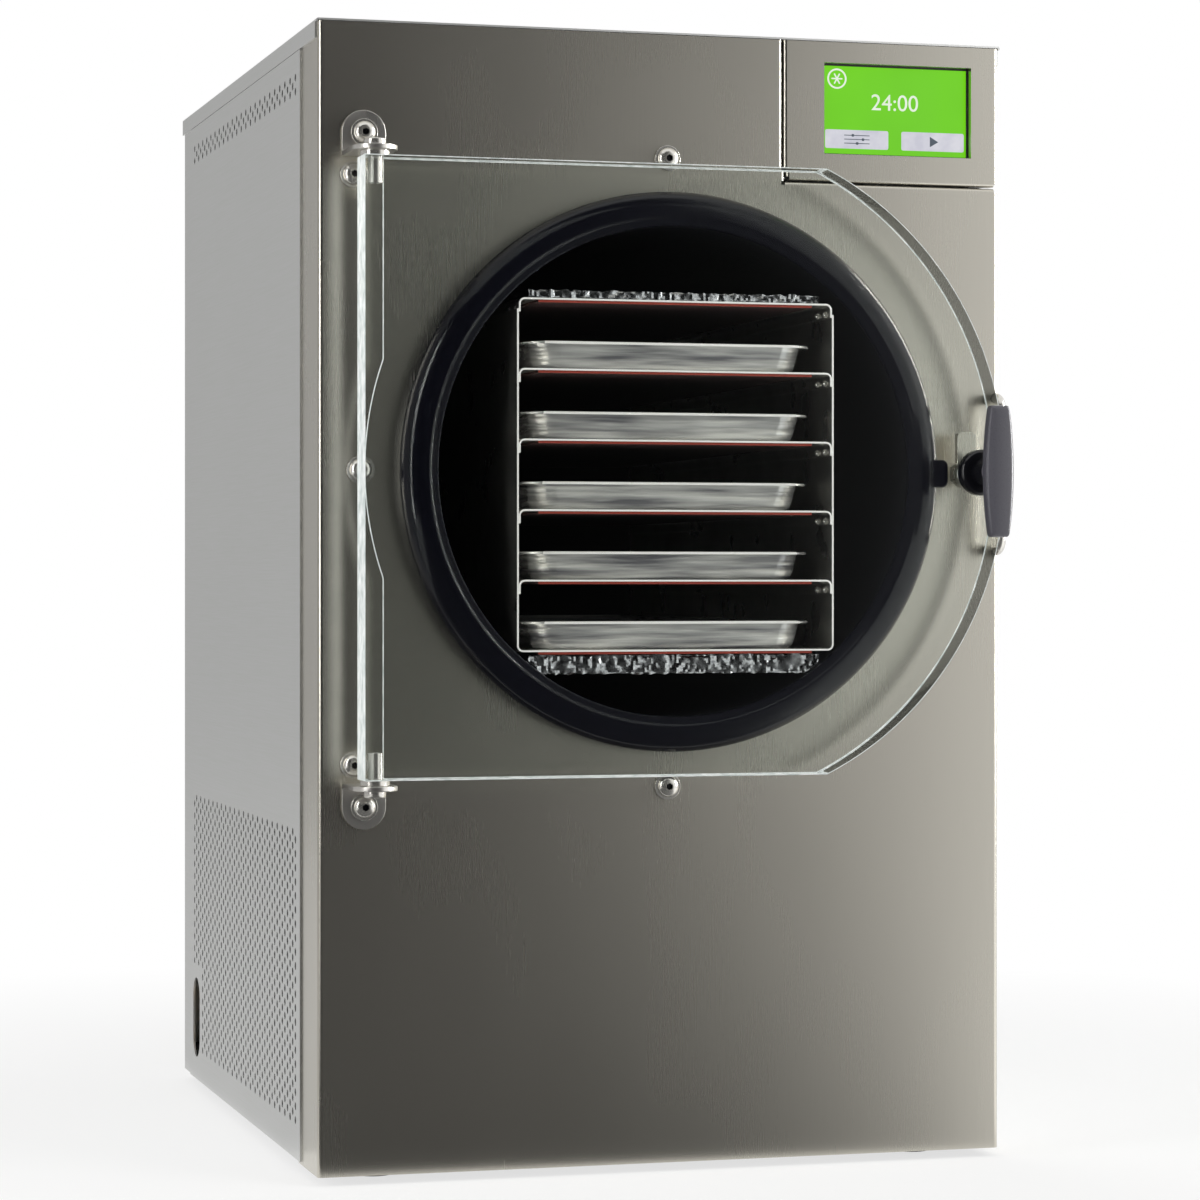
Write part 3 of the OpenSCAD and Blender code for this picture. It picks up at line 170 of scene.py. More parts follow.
finishes = {
    # sheet brushed upright, drawn 0.4 mm wide: turns the room into a soft upright gradient
    "front": brushedSteel("stainlessBrushedUpright", "#cdc9be", "#cac6bb", (0.4, 8, 40), 0.27),
    # satin sheet with its rolling lines along the depth: an even pale grey
    "side": brushedSteel("stainlessSatinSheet", "#dededd", "#dadbd8", (20, 60, 0.8), 0.42),
    # cut mill sheet: mid grey with slow, level waves
    "rack": pressedSteel("stainlessSheetCut", "#e4e1dc", "#d2cfc9", 1.0, 0.3, (14, 30, 30), 0.05),
    # deep-drawn pan: broken bands of light and dark painted into its colour along its walls, as painted
    # reflections, over the real waves of its bump
    "tray": pressedSteel("stainlessPressedPaintedBands", "#fbfaf6", "#7c7b80", 0.6, 0.18, (60, 60, 4), 2.2),
    # polished screws, pins and rods: small sharp lights beside darks
    "bright": grainedFinish("stainlessPolished", "#dedcd6", "#cecbc4", 0.9, 0.2, 0.6, 0.01),
    # plated fasteners: soft mid grey
    "zinc": grainedFinish("zincPlatedSteel", "#b9b8b2", "#9c9b95", 1.0, 0.36, 0.8, 0.1),
    # dark paint over sheet: flat, with hardly any shine
    "base": coatedSheet("paintedBaseSheet", "#4a4a4a", "#404040", 0.0, 0.55),
    # zinc-dipped sheet: cool grey, a little cloudy
    "case": coatedSheet("galvanisedSheet", "#a3a5a6", "#8f9192", 0.9, 0.45),
    # baked black coating: swallows the light inside the chamber
    "drum": coatedSheet("drumCoating", "#101013", "#0a0a0d", 0.0, 0.4, Specular_IOR_Level=0.1),
    # rubber from a polished mould: black with a faint, soft streak of light
    "gasket": grainedFinish("mouldedRubber", "#0c0c13", "#090910", 0.0, 0.14, 40, 0.0,
                            Specular_IOR_Level=0.3),
    # feet: dull, dusty black
    "foot": grainedFinish("footRubber", "#1b1b1b", "#121212", 0.0, 0.7, 0.8, 0.3),
    # closed-cell foam, cut through: dull and pitted
    "foam": grainedFinish("closedCellFoam", "#34353a", "#26272b", 0.0, 0.9, 1.5, 0.8),
    # drawn tube, a little tarnished: warm and half glossy
    "copper": grainedFinish("drawnCopper", "#c9825a", "#9c5f40", 1.0, 0.3, 2.0, 0.08),
    # lathe-cut brass: warm yellow with a soft gleam
    "brass": grainedFinish("turnedBrass", "#d9b672", "#b8955a", 0.6, 0.3, 0.5, 0.1),
    # heater mat: brick red darkened nearly to black, as painted shade under the shelves
    "silicone": grainedFinish("heaterSilicone", "#3c110b", "#2a0b07", 0.0, 0.8, 1.0, 0.1),
    # its forward-facing faces: the same rubber painted a clearer red, as painted light where its edge faces
    # the room
    "siliconePaintedLit": grainedFinish("heaterSiliconePaintedLit", "#9a3320", "#842718", 0.0, 0.6, 1.0, 0.1),
    # thick stove enamel: glossy black
    "enamel": grainedFinish("compressorEnamel", "#0c0c0e", "#08080a", 0.0, 0.22, 3.0, 0.1),
    # moulded nylon: black with a fine spark-eroded grain
    "nylon": grainedFinish("mouldedBlackNylon", "#1b1b1f", "#141417", 0.0, 0.38, 0.5, 0.2),
    # painted highlight on folded and cut edges: a pale, nearly white, even line that stands in for the
    # light they catch
    "edge": pressedSteel("stainlessEdgePaintedHighlight", "#f3f0ee", "#e6e3e0", 0.25, 0.4, (30, 30, 30), 0.0),
    # gloss moulding: black with sharp lights
    "boss": grainedFinish("glossyBlackMoulding", "#0d0d11", "#09090c", 0.0, 0.16, 0.8, 0.03),
    # satin moulding: charcoal grey with a broad sheen
    "handle": grainedFinish("satinBlackMoulding", "#48474d", "#424147", 0.0, 0.3, 0.5, 0.04),
    # hose plastic: milky grey
    "hose": grainedFinish("hosePlastic", "#c4c6c6", "#b2b4b4", 0.0, 0.4, 2.0, 0.05),
    # circuit laminate: green under a satin lacquer
    "board": grainedFinish("circuitLaminate", "#14502a", "#0f3d20", 0.0, 0.4, 1.0, 0.1),
    # fins on edge, 1.6 mm apart: fine pale lines for the fins and dark lines of painted shade in the gaps
    # between them
    "fins": brushedSteel("finStockAluminium", "#c6c8ca", "#9fa2a5", (40, 1.6, 40), 0.35),
    # thin rolled foil, crumpled: hard bright and dark facets
    "foil": grainedFinish("rolledFoil", "#c4c4c6", "#8c8c90", 1.0, 0.16, 2.2, 0.9),
}

# the nodes that no piece below stands for, by finish
nodeFinish = {
    "front": ["front_panel", "control_fascia"],
    "side": ["left_side_panel", "right_side_panel", "top_cover", "back_panel"],
    "zinc": ["panel_nuts", "latch_shaft", "back_screws", "fan_shaft", "chamber_flange"],
    "base": ["base_tray", "fan_shroud"],
    "case": ["power_supply", "fan_motor", "port_plate"],
    "drum": ["chamber_drum"],
    "foot": ["feet", "compressor_mounts"],
    "foam": ["drum_insulation"],
    "copper": ["cooling_coil", "refrigerant_pipes", "filter_drier"],
    "brass": ["vacuum_port", "drain_port"],
    "enamel": ["compressor"],
    "nylon": ["power_inlet", "switch_housing", "switch_rocker", "fan_blade"],
    "hose": ["chamber_tubes"],
    "board": ["control_board"],
    "fins": ["condenser"],
}


def setFinish(piece, material):
    piece.data.materials.clear()
    piece.data.materials.append(material)


for finish, members in nodeFinish.items():
    for member in members:
        setFinish(nodes[member], finishes[finish])

# cast clear sheet: water-white, with a cool tint in its thickness; lamps pass through it.
# Its IOR is low, so that it mirrors little of the room over the dark chamber
acrylic, acrylicTree, acrylicShader = newMaterial(
    "castAcrylic", "#f8fbf9", roughness=0.0, Transmission_Weight=1.0, IOR=1.2)
acrylicRays = addNode(acrylicTree, "LightPath")
acrylicPass = addNode(acrylicTree, "Math", {"operation": "MAXIMUM"},
                      {0: acrylicRays.outputs["Is Shadow Ray"], 1: acrylicRays.outputs["Is Diffuse Ray"]})
acrylicClear = addNode(acrylicTree, "BsdfTransparent", {"Color": linear("#f6f7f6")})
acrylicMix = addNode(acrylicTree, "MixShader", None,
                     {0: acrylicPass.outputs["Value"], 1: acrylicShader.outputs["BSDF"],
                      2: acrylicClear.outputs["BSDF"]})
acrylicTree.links.new(acrylicMix.outputs["Shader"], acrylicTree.nodes["Material Output"].inputs["Surface"])

# flame-polished round edge of the same sheet: so clear that little more than its two rims shows
polishedEdge = acrylic.copy()
polishedEdge.name = "acrylicPolishedEdge"
polishedEdge.node_tree.nodes["Principled BSDF"].inputs["IOR"].default_value = 1.03

# saw-cut and scraped edge of the same sheet: frosted, so it gathers the light and shows nearly white
sawnEdge, sawnTree, sawnShader = newMaterial("acrylicMachinedEdge", "#f4f8f5", roughness=0.55,
                                             Transmission_Weight=0.25, IOR=1.49)
cutterMarks = noiseOf(sawnTree, (6, 6, 9), detail=3)
colourBy(sawnTree, sawnShader.inputs["Base Color"], cutterMarks, "#f3f6f5", "#b9c2c0")
sawnTree.links.new(spread(sawnTree, cutterMarks, 0.4, 0.65), sawnShader.inputs["Roughness"])

# backlit display: bright green, with a faint unevenness of the light behind it
screenGlow, screenTree, screenShader = newMaterial("backlitScreen", "#0c100a", roughness=0.3)
colourBy(screenTree, screenShader.inputs["Emission Color"], noiseOf(screenTree, (60, 60, 60)),
         "#72d60f", "#6bcb0d")
screenShader.inputs["Emission Strength"].default_value = 0.95
setFinish(nodes["display_screen"], screenGlow)


# printed marks on the lit panel, with the panel's light behind them
def litMark(name, colour, darker, glow):
    material, tree, shader = newMaterial(name, "#202020", roughness=0.35)
    colourBy(tree, shader.inputs["Emission Color"], noiseOf(tree, (9, 9, 9)), colour, darker)
    shader.inputs["Emission Strength"].default_value = glow
    return material


screenWhite = litMark("litWhiteMark", "#f4faee", "#e6f4da", 0.9)
screenKey = litMark("litGreyKey", "#e2e2ea", "#cfcfdc", 0.86)
screenInk = litMark("litSlateInk", "#4c5866", "#434e5a", 0.8)
print("finishes done")


# modelling helpers

sameSpot = 0.005 * mm        # points closer than this are one
nearPlane = 0.1 * mm         # points closer than this lie on a plane


def deselectAll():
    if bpy.context.object and bpy.context.object.mode != "OBJECT":
        bpy.ops.object.mode_set(mode="OBJECT")
    bpy.ops.object.select_all(action="DESELECT")


def activate(piece):
    deselectAll()
    piece.select_set(True)
    bpy.context.view_layer.objects.active = piece


def editOn(piece):
    activate(piece)
    bpy.ops.object.mode_set(mode="EDIT")


def editOff():
    bpy.ops.object.mode_set(mode="OBJECT")


# centre of an edge or a face in edit mode
def middle(item):
    points = [vertex.co for vertex in item.verts]
    return sum(points, Vector()) / len(points)


# selects the edges or faces that pass the test, and nothing else
def pick(kind, test):
    bpy.ops.mesh.select_mode(type=kind)
    bpy.ops.mesh.select_all(action="DESELECT")
    mesh = bmesh.from_edit_mesh(bpy.context.object.data)
    for item in {"EDGE": mesh.edges, "FACE": mesh.faces}[kind]:
        if test(item):
            item.select_set(True)
    bmesh.update_edit_mesh(bpy.context.object.data)


def newBox(name, low, high):
    deselectAll()
    low, high = Vector(low), Vector(high)
    bpy.ops.mesh.primitive_cube_add(size=1, location=(low + high) / 2, scale=high - low)
    bpy.ops.object.transform_apply(location=True, rotation=True, scale=True)
    bpy.context.object.name = name
    return bpy.context.object


# a round bar that lies along Y
def newRod(name, centre, radius, length, steps):
    deselectAll()
    bpy.ops.mesh.primitive_cylinder_add(vertices=steps, radius=radius, depth=length, location=centre,
                                        rotation=(math.pi / 2, 0, 0))
    bpy.ops.object.transform_apply(location=True, rotation=True, scale=True)
    bpy.context.object.name = name
    return bpy.context.object


# a shape turned about a line along Y through (x, up)
# each point of its outline is (radius, ahead), all in mm
def newTurned(name, outline, steps, x=0, up=0):
    deselectAll()
    bpy.ops.mesh.primitive_circle_add(vertices=len(outline), radius=0.01, fill_type="NOTHING")
    piece = bpy.context.object
    piece.name = name
    for vertex, (radius, ahead) in zip(piece.data.vertices, outline):
        vertex.co = place(x + radius, ahead, up)
    editOn(piece)
    bpy.ops.mesh.select_all(action="SELECT")
    bpy.ops.mesh.spin(steps=steps, angle=math.tau, center=place(x, 0, up), axis=(0, 1, 0))
    bpy.ops.mesh.select_all(action="SELECT")
    bpy.ops.mesh.remove_doubles(threshold=sameSpot)
    bpy.ops.mesh.normals_make_consistent(inside=False)
    editOff()
    piece.location = (0, 0, 0)
    return piece


def applyAll(piece):
    activate(piece)
    for modifier in list(piece.modifiers):
        bpy.ops.object.modifier_apply(modifier=modifier.name)


# rounds the edges that turn by more than the angle; the width is in mm
def bevelEdges(piece, width, segments=2, angle=35):
    bevel = piece.modifiers.new("softEdge", "BEVEL")
    bevel.width = width * mm
    bevel.segments = segments
    bevel.limit_method = "ANGLE"
    bevel.angle_limit = math.radians(angle)
    applyAll(piece)


# rounds a coarse cage off
def subdivide(piece, levels):
    smooth = piece.modifiers.new("smooth", "SUBSURF")
    smooth.levels = levels
    smooth.render_levels = levels
    applyAll(piece)


def cutAway(piece, cutter):
    cut = piece.modifiers.new("cut", "BOOLEAN")
    cut.object = cutter
    cut.operation = "DIFFERENCE"
    cut.solver = "EXACT"
    applyAll(piece)
    bpy.data.objects.remove(cutter)


def joinPieces(first, *others):
    activate(first)
    for other in others:
        other.select_set(True)
    bpy.ops.object.join()
    return first


# hands a finished piece over: its finish, its body and what it stands for
def finishPiece(piece, material, body, replaced=(), smoothAngle=35):
    setFinish(piece, material)
    activate(piece)
    bpy.ops.object.shade_smooth_by_angle(angle=math.radians(smoothAngle))
    weigh = piece.modifiers.new("flatFaces", "WEIGHTED_NORMAL")
    weigh.keep_sharp = True
    weigh.weight = 90
    applyAll(piece)
    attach(piece, body)
    if replaced:
        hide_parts(*replaced)


# a second finish on the faces that pass the test
def addFinish(piece, material, test):
    piece.data.materials.append(material)
    for face in piece.data.polygons:
        if test(face):
            face.material_index = 1


# clear door

doorSizes = {
    "relief wide": 16,       # the hinge edge is thinned behind, outside the disc on the gasket
    "relief deep": 4,
    "relief round": 203.6,
    "bore": 6,               # for the latch shaft
    "bore gap": 0.1,
    "edge": 0.7,             # the rims, scraped at a slant
    "hinge edge": 0.4,       # frosting reaches so far in from the hinge edge
    "step": 4.5,             # and so far forward from the back, past the relief
    "round from": 10,        # the round edge lies to the right of this
    "steps": 256,
    "bore steps": 64,
}


def buildDoor():
    s = doorSizes
    low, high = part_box("door_plate")
    centre = Vector((0, (low.y + high.y) / 2, chamberZ))
    thick = high.y - low.y
    door = newRod("clearDoor", centre, high.x, thick, s["steps"])
    editOn(door)
    for z, side in ((high.z, 1), (low.z, -1)):
        bpy.ops.mesh.select_all(action="SELECT")
        bpy.ops.mesh.bisect(plane_co=(0, 0, z), plane_no=(0, 0, side), clear_outer=True, use_fill=True)
    bpy.ops.mesh.select_all(action="SELECT")
    bpy.ops.mesh.bisect(plane_co=(0, 0, chamberZ), plane_no=(1, 0, 0), clear_inner=True, use_fill=True)
    pick("FACE", lambda face: middle(face).x < nearPlane and face.normal.x < -0.9)
    bpy.ops.mesh.extrude_region_move(TRANSFORM_OT_translate={"value": (low.x, 0, 0)})
    editOff()
    past = 10 * mm    # how far the cutters reach past the plate
    relief = newBox("relief", (low.x - past, high.y - s["relief deep"] * mm, low.z - past),
                    (low.x + s["relief wide"] * mm, high.y + past, high.z + past))
    disc = newRod("reliefDisc", (0, high.y, chamberZ), s["relief round"] * mm, 4 * past, s["steps"])
    cutAway(relief, disc)
    cutAway(door, relief)
    shaftLow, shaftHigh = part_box("latch_shaft")
    bore = s["bore"] * mm + s["bore gap"] * mm
    spot = ((shaftLow.x + shaftHigh.x) / 2, centre.y, chamberZ)
    cutAway(door, newRod("hole", spot, bore, thick + 2 * past, s["bore steps"]))
    bevelEdges(door, s["edge"], segments=2, angle=40)
    finishPiece(door, acrylic, "door", ["door_plate"], 30)
    # the hinge edge, the relief's step and the rims are frosted, the round edge is polished,
    # and the two cast faces stay clear
    door.data.materials.append(sawnEdge)
    door.data.materials.append(polishedEdge)
    for face in door.data.polygons:
        facing = abs(face.normal.y)    # 1 on the cast faces, 0 on the edges all round
        hinge = face.center.x < low.x + s["hinge edge"] * mm
        step = face.center.y > high.y - s["step"] * mm and facing < 0.9
        rim = 0.1 < facing < 0.99
        curved = face.center.x > s["round from"] * mm and facing < 0.9
        face.material_index = 1 if hinge or step or rim else 2 if curved else 0


# gasket

gasketSizes = {
    "foot ahead": 0.5,       # of the front panel
    "foot in": 2.0,          # narrower at the panel, wider towards the door
    "foot round": 4,
    "wing out": 0.8,
    "round wide": 16,        # the outer corner is a quarter of an ellipse
    "round deep": 12,
    "outer": 177.5,
    "inner": 155.7,
    "hidden wall": 157.9,    # where the gasket grips the drum's rim
    "face": 21.9,
    "lip": 20.6,             # the thin lip inside stands a little lower
    "lip from": 160.5,
    "behind lip": 17.6,
    "tab": (17.5, 20.5),     # a tab to pull it off by, at the right
    "tab long": 18,
    "tab inside": 6,
    "tab reach": 5,
    "tab round": 4,
    "tab edge": 1,
    "steps": 192,
}


def buildGasket():
    s = gasketSizes
    foot, wing = s["outer"] - s["foot in"], s["outer"] + s["wing out"]
    curve, seat = s["foot round"], s["foot ahead"]
    outline = [(s["hidden wall"], seat), (foot - curve, seat)]
    for step in range(7):
        angle = math.radians(-90 + 15 * step)
        outline.append((foot - curve + curve * math.cos(angle), seat + curve + curve * math.sin(angle)))
    for step in range(13):
        angle = math.radians(7.5 * step)
        outline.append((wing - s["round wide"] * (1 - math.cos(angle)),
                        s["face"] - s["round deep"] * (1 - math.sin(angle))))
    start, face, lip, inner = s["lip from"], s["face"], s["lip"], s["inner"]
    outline += [(start + 2, face), (start + 1.2, face - 0.1), (start + 0.5, face - 0.5),
                (start + 0.1, lip + 0.4), (start - 0.5, lip), (inner + 1.2, lip),
                (inner + 0.35, lip - 0.35), (inner, lip - 1.2), (inner, s["behind lip"]),
                (s["hidden wall"], s["behind lip"])]
    gasket = newTurned("doorSeal", outline, s["steps"])
    reach, half = s["outer"] + s["tab reach"], s["tab long"] / 2
    tabBack, tabFront = s["tab"]
    tab = newBox("tab", place(s["outer"] - s["tab inside"], tabFront, -half), place(reach, tabBack, half))
    editOn(tab)
    pick("EDGE", lambda edge: all(abs(v.co.x - reach * mm) < nearPlane for v in edge.verts)
         and abs(edge.verts[0].co.y - edge.verts[1].co.y) > mm)
    bpy.ops.mesh.bevel(offset=s["tab round"] * mm, segments=6, affect="EDGES")
    editOff()
    bevelEdges(tab, s["tab edge"], segments=3, angle=40)
    joinPieces(gasket, tab)
    finishPiece(gasket, finishes["gasket"], "cabinet", ["door_gasket"], 40)


# latch handle

handleSizes = {
    "wide": 19.6,
    "end wide": 12.8,
    "thick": 11.5,
    "crown": 4.6,            # the face falls away to both sides
    "droop": 2.2,            # and to both ends
    "loops": (-0.86, -0.66, -0.32, 0, 0.32, 0.66, 0.86),    # as shares of half its length
    "side loops": 4.6,
    "back loop": 2.2,
    "neck": 9.4,
    "neck bore": 6.2,
    "flare": 10.2,           # the neck widens where it meets the grip
    "steps": 96,
}


# the grip is a bent cage, rounded off; its neck is turned
def buildHandle():
    s = handleSizes
    low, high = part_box("latch_handle")
    centreX = (low.x + high.x) / 2
    front, back = low.y, low.y + s["thick"] * mm
    half = (high.z - low.z) / 2
    bar = newBox("latchGrip", (centreX - s["end wide"] / 2 * mm, front, low.z),
                 (centreX + s["end wide"] / 2 * mm, back, high.z))
    editOn(bar)
    cuts = [((0, 0, chamberZ + half * share), (0, 0, 1)) for share in s["loops"]]
    cuts += [((centreX + side * s["side loops"] * mm, 0, 0), (1, 0, 0)) for side in (-1, 1)]
    cuts += [((0, back - s["back loop"] * mm, 0), (0, 1, 0))]
    for spot, normal in cuts:
        bpy.ops.mesh.select_all(action="SELECT")
        bpy.ops.mesh.bisect(plane_co=spot, plane_no=normal)
    editOff()
    for vertex in bar.data.vertices:
        along = abs(vertex.co.z - chamberZ) / half
        widen = 1 + (s["wide"] / s["end wide"] - 1) * (1 - along ** 2)
        vertex.co.x = centreX + (vertex.co.x - centreX) * widen
        if vertex.co.y < (front + back) / 2:
            aside = (vertex.co.x - centreX) / (s["wide"] / 2 * mm)
            vertex.co.y += s["droop"] * mm * along ** 2 + s["crown"] * mm * aside ** 2
    subdivide(bar, 3)
    hubBack = (panelFront - high.y) / mm
    barBack = (panelFront - back) / mm
    neck, flare, bore = s["neck"], s["flare"], s["neck bore"]
    outline = [(bore, hubBack), (neck - 1, hubBack), (neck - 0.2, hubBack + 0.4), (neck, hubBack + 1.2),
               (neck, hubBack + 6), (neck + 0.5, hubBack + 10), (flare - 0.8, barBack - 4),
               (flare, barBack - 1.5), (flare, barBack + 0.6), (flare - 1.2, barBack + 2.4),
               (bore, barBack + 4)]
    joinPieces(bar, newTurned("neck", outline, s["steps"], x=centreX / mm))
    finishPiece(bar, finishes["handle"], "latch", ["latch_handle"], 50)
    addFinish(bar, finishes["boss"], lambda face: face.center.y > back - mm)    # glossy neck


# trays

traySizes = {
    "sheet": 0.9,
    "flare": 4.0,            # how far the wall leans out from bottom to top
    "corner": 16,
    "bottom round": 4.5,
    "rim": 5,
    "rim end": 0.9,          # the last part of the rim slopes down into its roll
    "rim dip": 0.3,
    "rim roll": 1.8,
    "edge": 0.3,
    # the front roll carries a painted highlight so far behind and so far down
    "front roll": (1.5, 4),  # the front roll is pale so far behind and so far down
}


# a pan pulled up from its bottom, then out and down along its rim
def buildTray(node):
    s = traySizes
    low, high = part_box(node)
    rim, flare, end = s["rim"] * mm, s["flare"] * mm, s["rim end"] * mm
    tray = newBox(node.replace("_", "Pan"), (low.x + rim, low.y + rim, low.z),
                  (high.x - rim, high.y - rim, high.z))
    centre = (low + high) / 2
    across, along = (high.x - low.x) / 2 - rim, (high.y - low.y) / 2 - rim

    # moves the selection from one distance past the walls to another, on all four sides
    def grow(start, stop):
        factors = ((across + stop) / (across + start), (along + stop) / (along + start), 1)
        bpy.ops.transform.resize(value=factors, center_override=centre)

    editOn(tray)
    pick("FACE", lambda face: face.normal.z < -0.9)
    grow(0, -flare)
    pick("EDGE", lambda edge: abs(middle(edge).z - centre.z) < mm)
    bpy.ops.mesh.bevel(offset=s["corner"] * mm, segments=8, affect="EDGES")
    pick("FACE", lambda face: face.normal.z > 0.9)
    bpy.ops.mesh.delete(type="FACE")
    pick("EDGE", lambda edge: all(vertex.co.z < low.z + nearPlane for vertex in edge.verts))
    bpy.ops.mesh.bevel(offset=s["bottom round"] * mm, segments=5, affect="EDGES")
    pick("EDGE", lambda edge: len(edge.link_faces) == 1)
    bpy.ops.mesh.extrude_edges_move()
    grow(0, rim - end)
    bpy.ops.mesh.extrude_edges_move(TRANSFORM_OT_translate={"value": (0, 0, -s["rim dip"] * mm)})
    grow(rim - end, rim)
    drop = (s["rim roll"] - s["rim dip"]) * mm
    bpy.ops.mesh.extrude_edges_move(TRANSFORM_OT_translate={"value": (0, 0, -drop)})
    bpy.ops.mesh.select_all(action="SELECT")
    bpy.ops.mesh.normals_make_consistent(inside=False)
    editOff()
    wall = tray.modifiers.new("wall", "SOLIDIFY")
    wall.thickness = s["sheet"] * mm
    wall.offset = -1
    applyAll(tray)
    bevelEdges(tray, s["edge"], segments=2, angle=50)
    finishPiece(tray, finishes["tray"], "cabinet", [node], 40)
    # painted highlight: the front roll gets the pale edge finish
    behind, down = s["front roll"]
    addFinish(tray, finishes["edge"],
              lambda face: face.center.y < low.y + behind * mm and face.center.z > high.z - down * mm)


# foil blankets

foilSizes = {
    "half": 97,
    "front": -14,            # both blankets start ahead of the front panel, inside the drum's rim
    "back": 446,
    "upper": (108.5, 6),     # underside above the axis, and thickness
    "lower": (-128.8, 13),
    "cells": (1.5, 6, 1.5),  # mesh spacing, finest over the front edge that shows
    "creases": ((11, 0.9), (5.2, 0.9), (2.6, 0.7)),   # width and depth of the folds
    "crease start": (7.3, 1.1, 4.7),
    "crease slope": 2.6,     # a fold falls from its ridge, where the noise is 0
    "crease share": 0.8,
    "least push": 0.05,      # every point goes in by at least this
    "clear": 155.0,          # the lower blanket follows the drum's wall
}


# a blanket of crumpled foil from a box that is cut fine and pushed in along its own normals
def buildFoil(name, underside, thick):
    s = foilSizes
    low = place(-s["half"], -s["front"], underside)
    high = place(s["half"], -s["back"], underside + thick)
    low.y, high.y = min(low.y, high.y), max(low.y, high.y)
    foil = newBox(name, low, high)
    editOn(foil)
    for axis in range(3):
        length = high[axis] - low[axis]
        across = [int(axis == other) for other in range(3)]
        count = max(2, round(length / (s["cells"][axis] * mm)))
        for cut in range(1, count):
            spot = [0, 0, 0]
            spot[axis] = low[axis] + length * cut / count
            bpy.ops.mesh.select_all(action="SELECT")
            bpy.ops.mesh.bisect(plane_co=spot, plane_no=across)
    editOff()
    normals = [vertex.normal.copy() for vertex in foil.data.vertices]
    reach = s["clear"] * mm
    for vertex, normal in zip(foil.data.vertices, normals):
        depth = 0
        for width, height in s["creases"]:
            spot = vertex.co / (width * mm) + Vector(s["crease start"])
            depth += height * mm * (1 - s["crease slope"] * abs(noise.noise(spot)))
        vertex.co -= normal * max(s["least push"] * mm, depth * s["crease share"])
        up = vertex.co.z - chamberZ
        room = math.sqrt(max(0, reach ** 2 - up ** 2))
        vertex.co.x = max(-room, min(room, vertex.co.x))
    return foil


def buildBlankets():
    s = foilSizes
    blankets = joinPieces(buildFoil("crumpledFoil", *s["upper"]), buildFoil("lowerFoil", *s["lower"]))
    finishPiece(blankets, finishes["foil"], "cabinet", ["foil_blankets"], 18)


# display

displaySizes = {
    "proud": 0.25,
    "ring": (9.6, 48.6, 6.6, 1.1),       # centre from the left and from the bottom, radius, line
    "ring steps": 96,
    "bar": (1.15, 0.9, 0.3),             # long as a share of the ring's radius, high, corner
    "digits": 15,
    "digits centre": (49.6, 33.5),
    "buttons": ((23.3, 9.4), (76.0, 9.4)),
    "button": (43.6, 12.2, 1.2),         # wide, high, corner
    "slider": (17.6, 0.5, 0.2),
    "slider proud": 0.1,
    "rows": 2.6,                         # from one slider to the next
    "knob": (1.7, 1.7, 0.5),
    "knobs": (20.5, 27.5, 23.5),
    "icon proud": 0.14,
    "arrow": 3.9,
}


# a point in mm: right of the screen's left edge, above its bottom, ahead of its face
def onScreen(x, up, ahead=0.0):
    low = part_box("display_screen")[0]
    return Vector((low.x + x * mm, low.y - ahead * mm, low.z + up * mm))


# a flat plate with round corners, from so far ahead of the screen
def screenPlate(name, centre, wide, high, corner, ahead, thick):
    middleSpot = onScreen(*centre)
    front, back = onScreen(0, 0, ahead + thick).y, onScreen(0, 0, ahead).y
    plate = newBox(name, (middleSpot.x - wide / 2 * mm, front, middleSpot.z - high / 2 * mm),
                   (middleSpot.x + wide / 2 * mm, back, middleSpot.z + high / 2 * mm))
    editOn(plate)
    pick("EDGE", lambda edge: abs(edge.verts[0].co.y - edge.verts[1].co.y) > thick * 0.5 * mm)
    bpy.ops.mesh.bevel(offset=corner * mm, segments=5, affect="EDGES")
    editOff()
    return plate


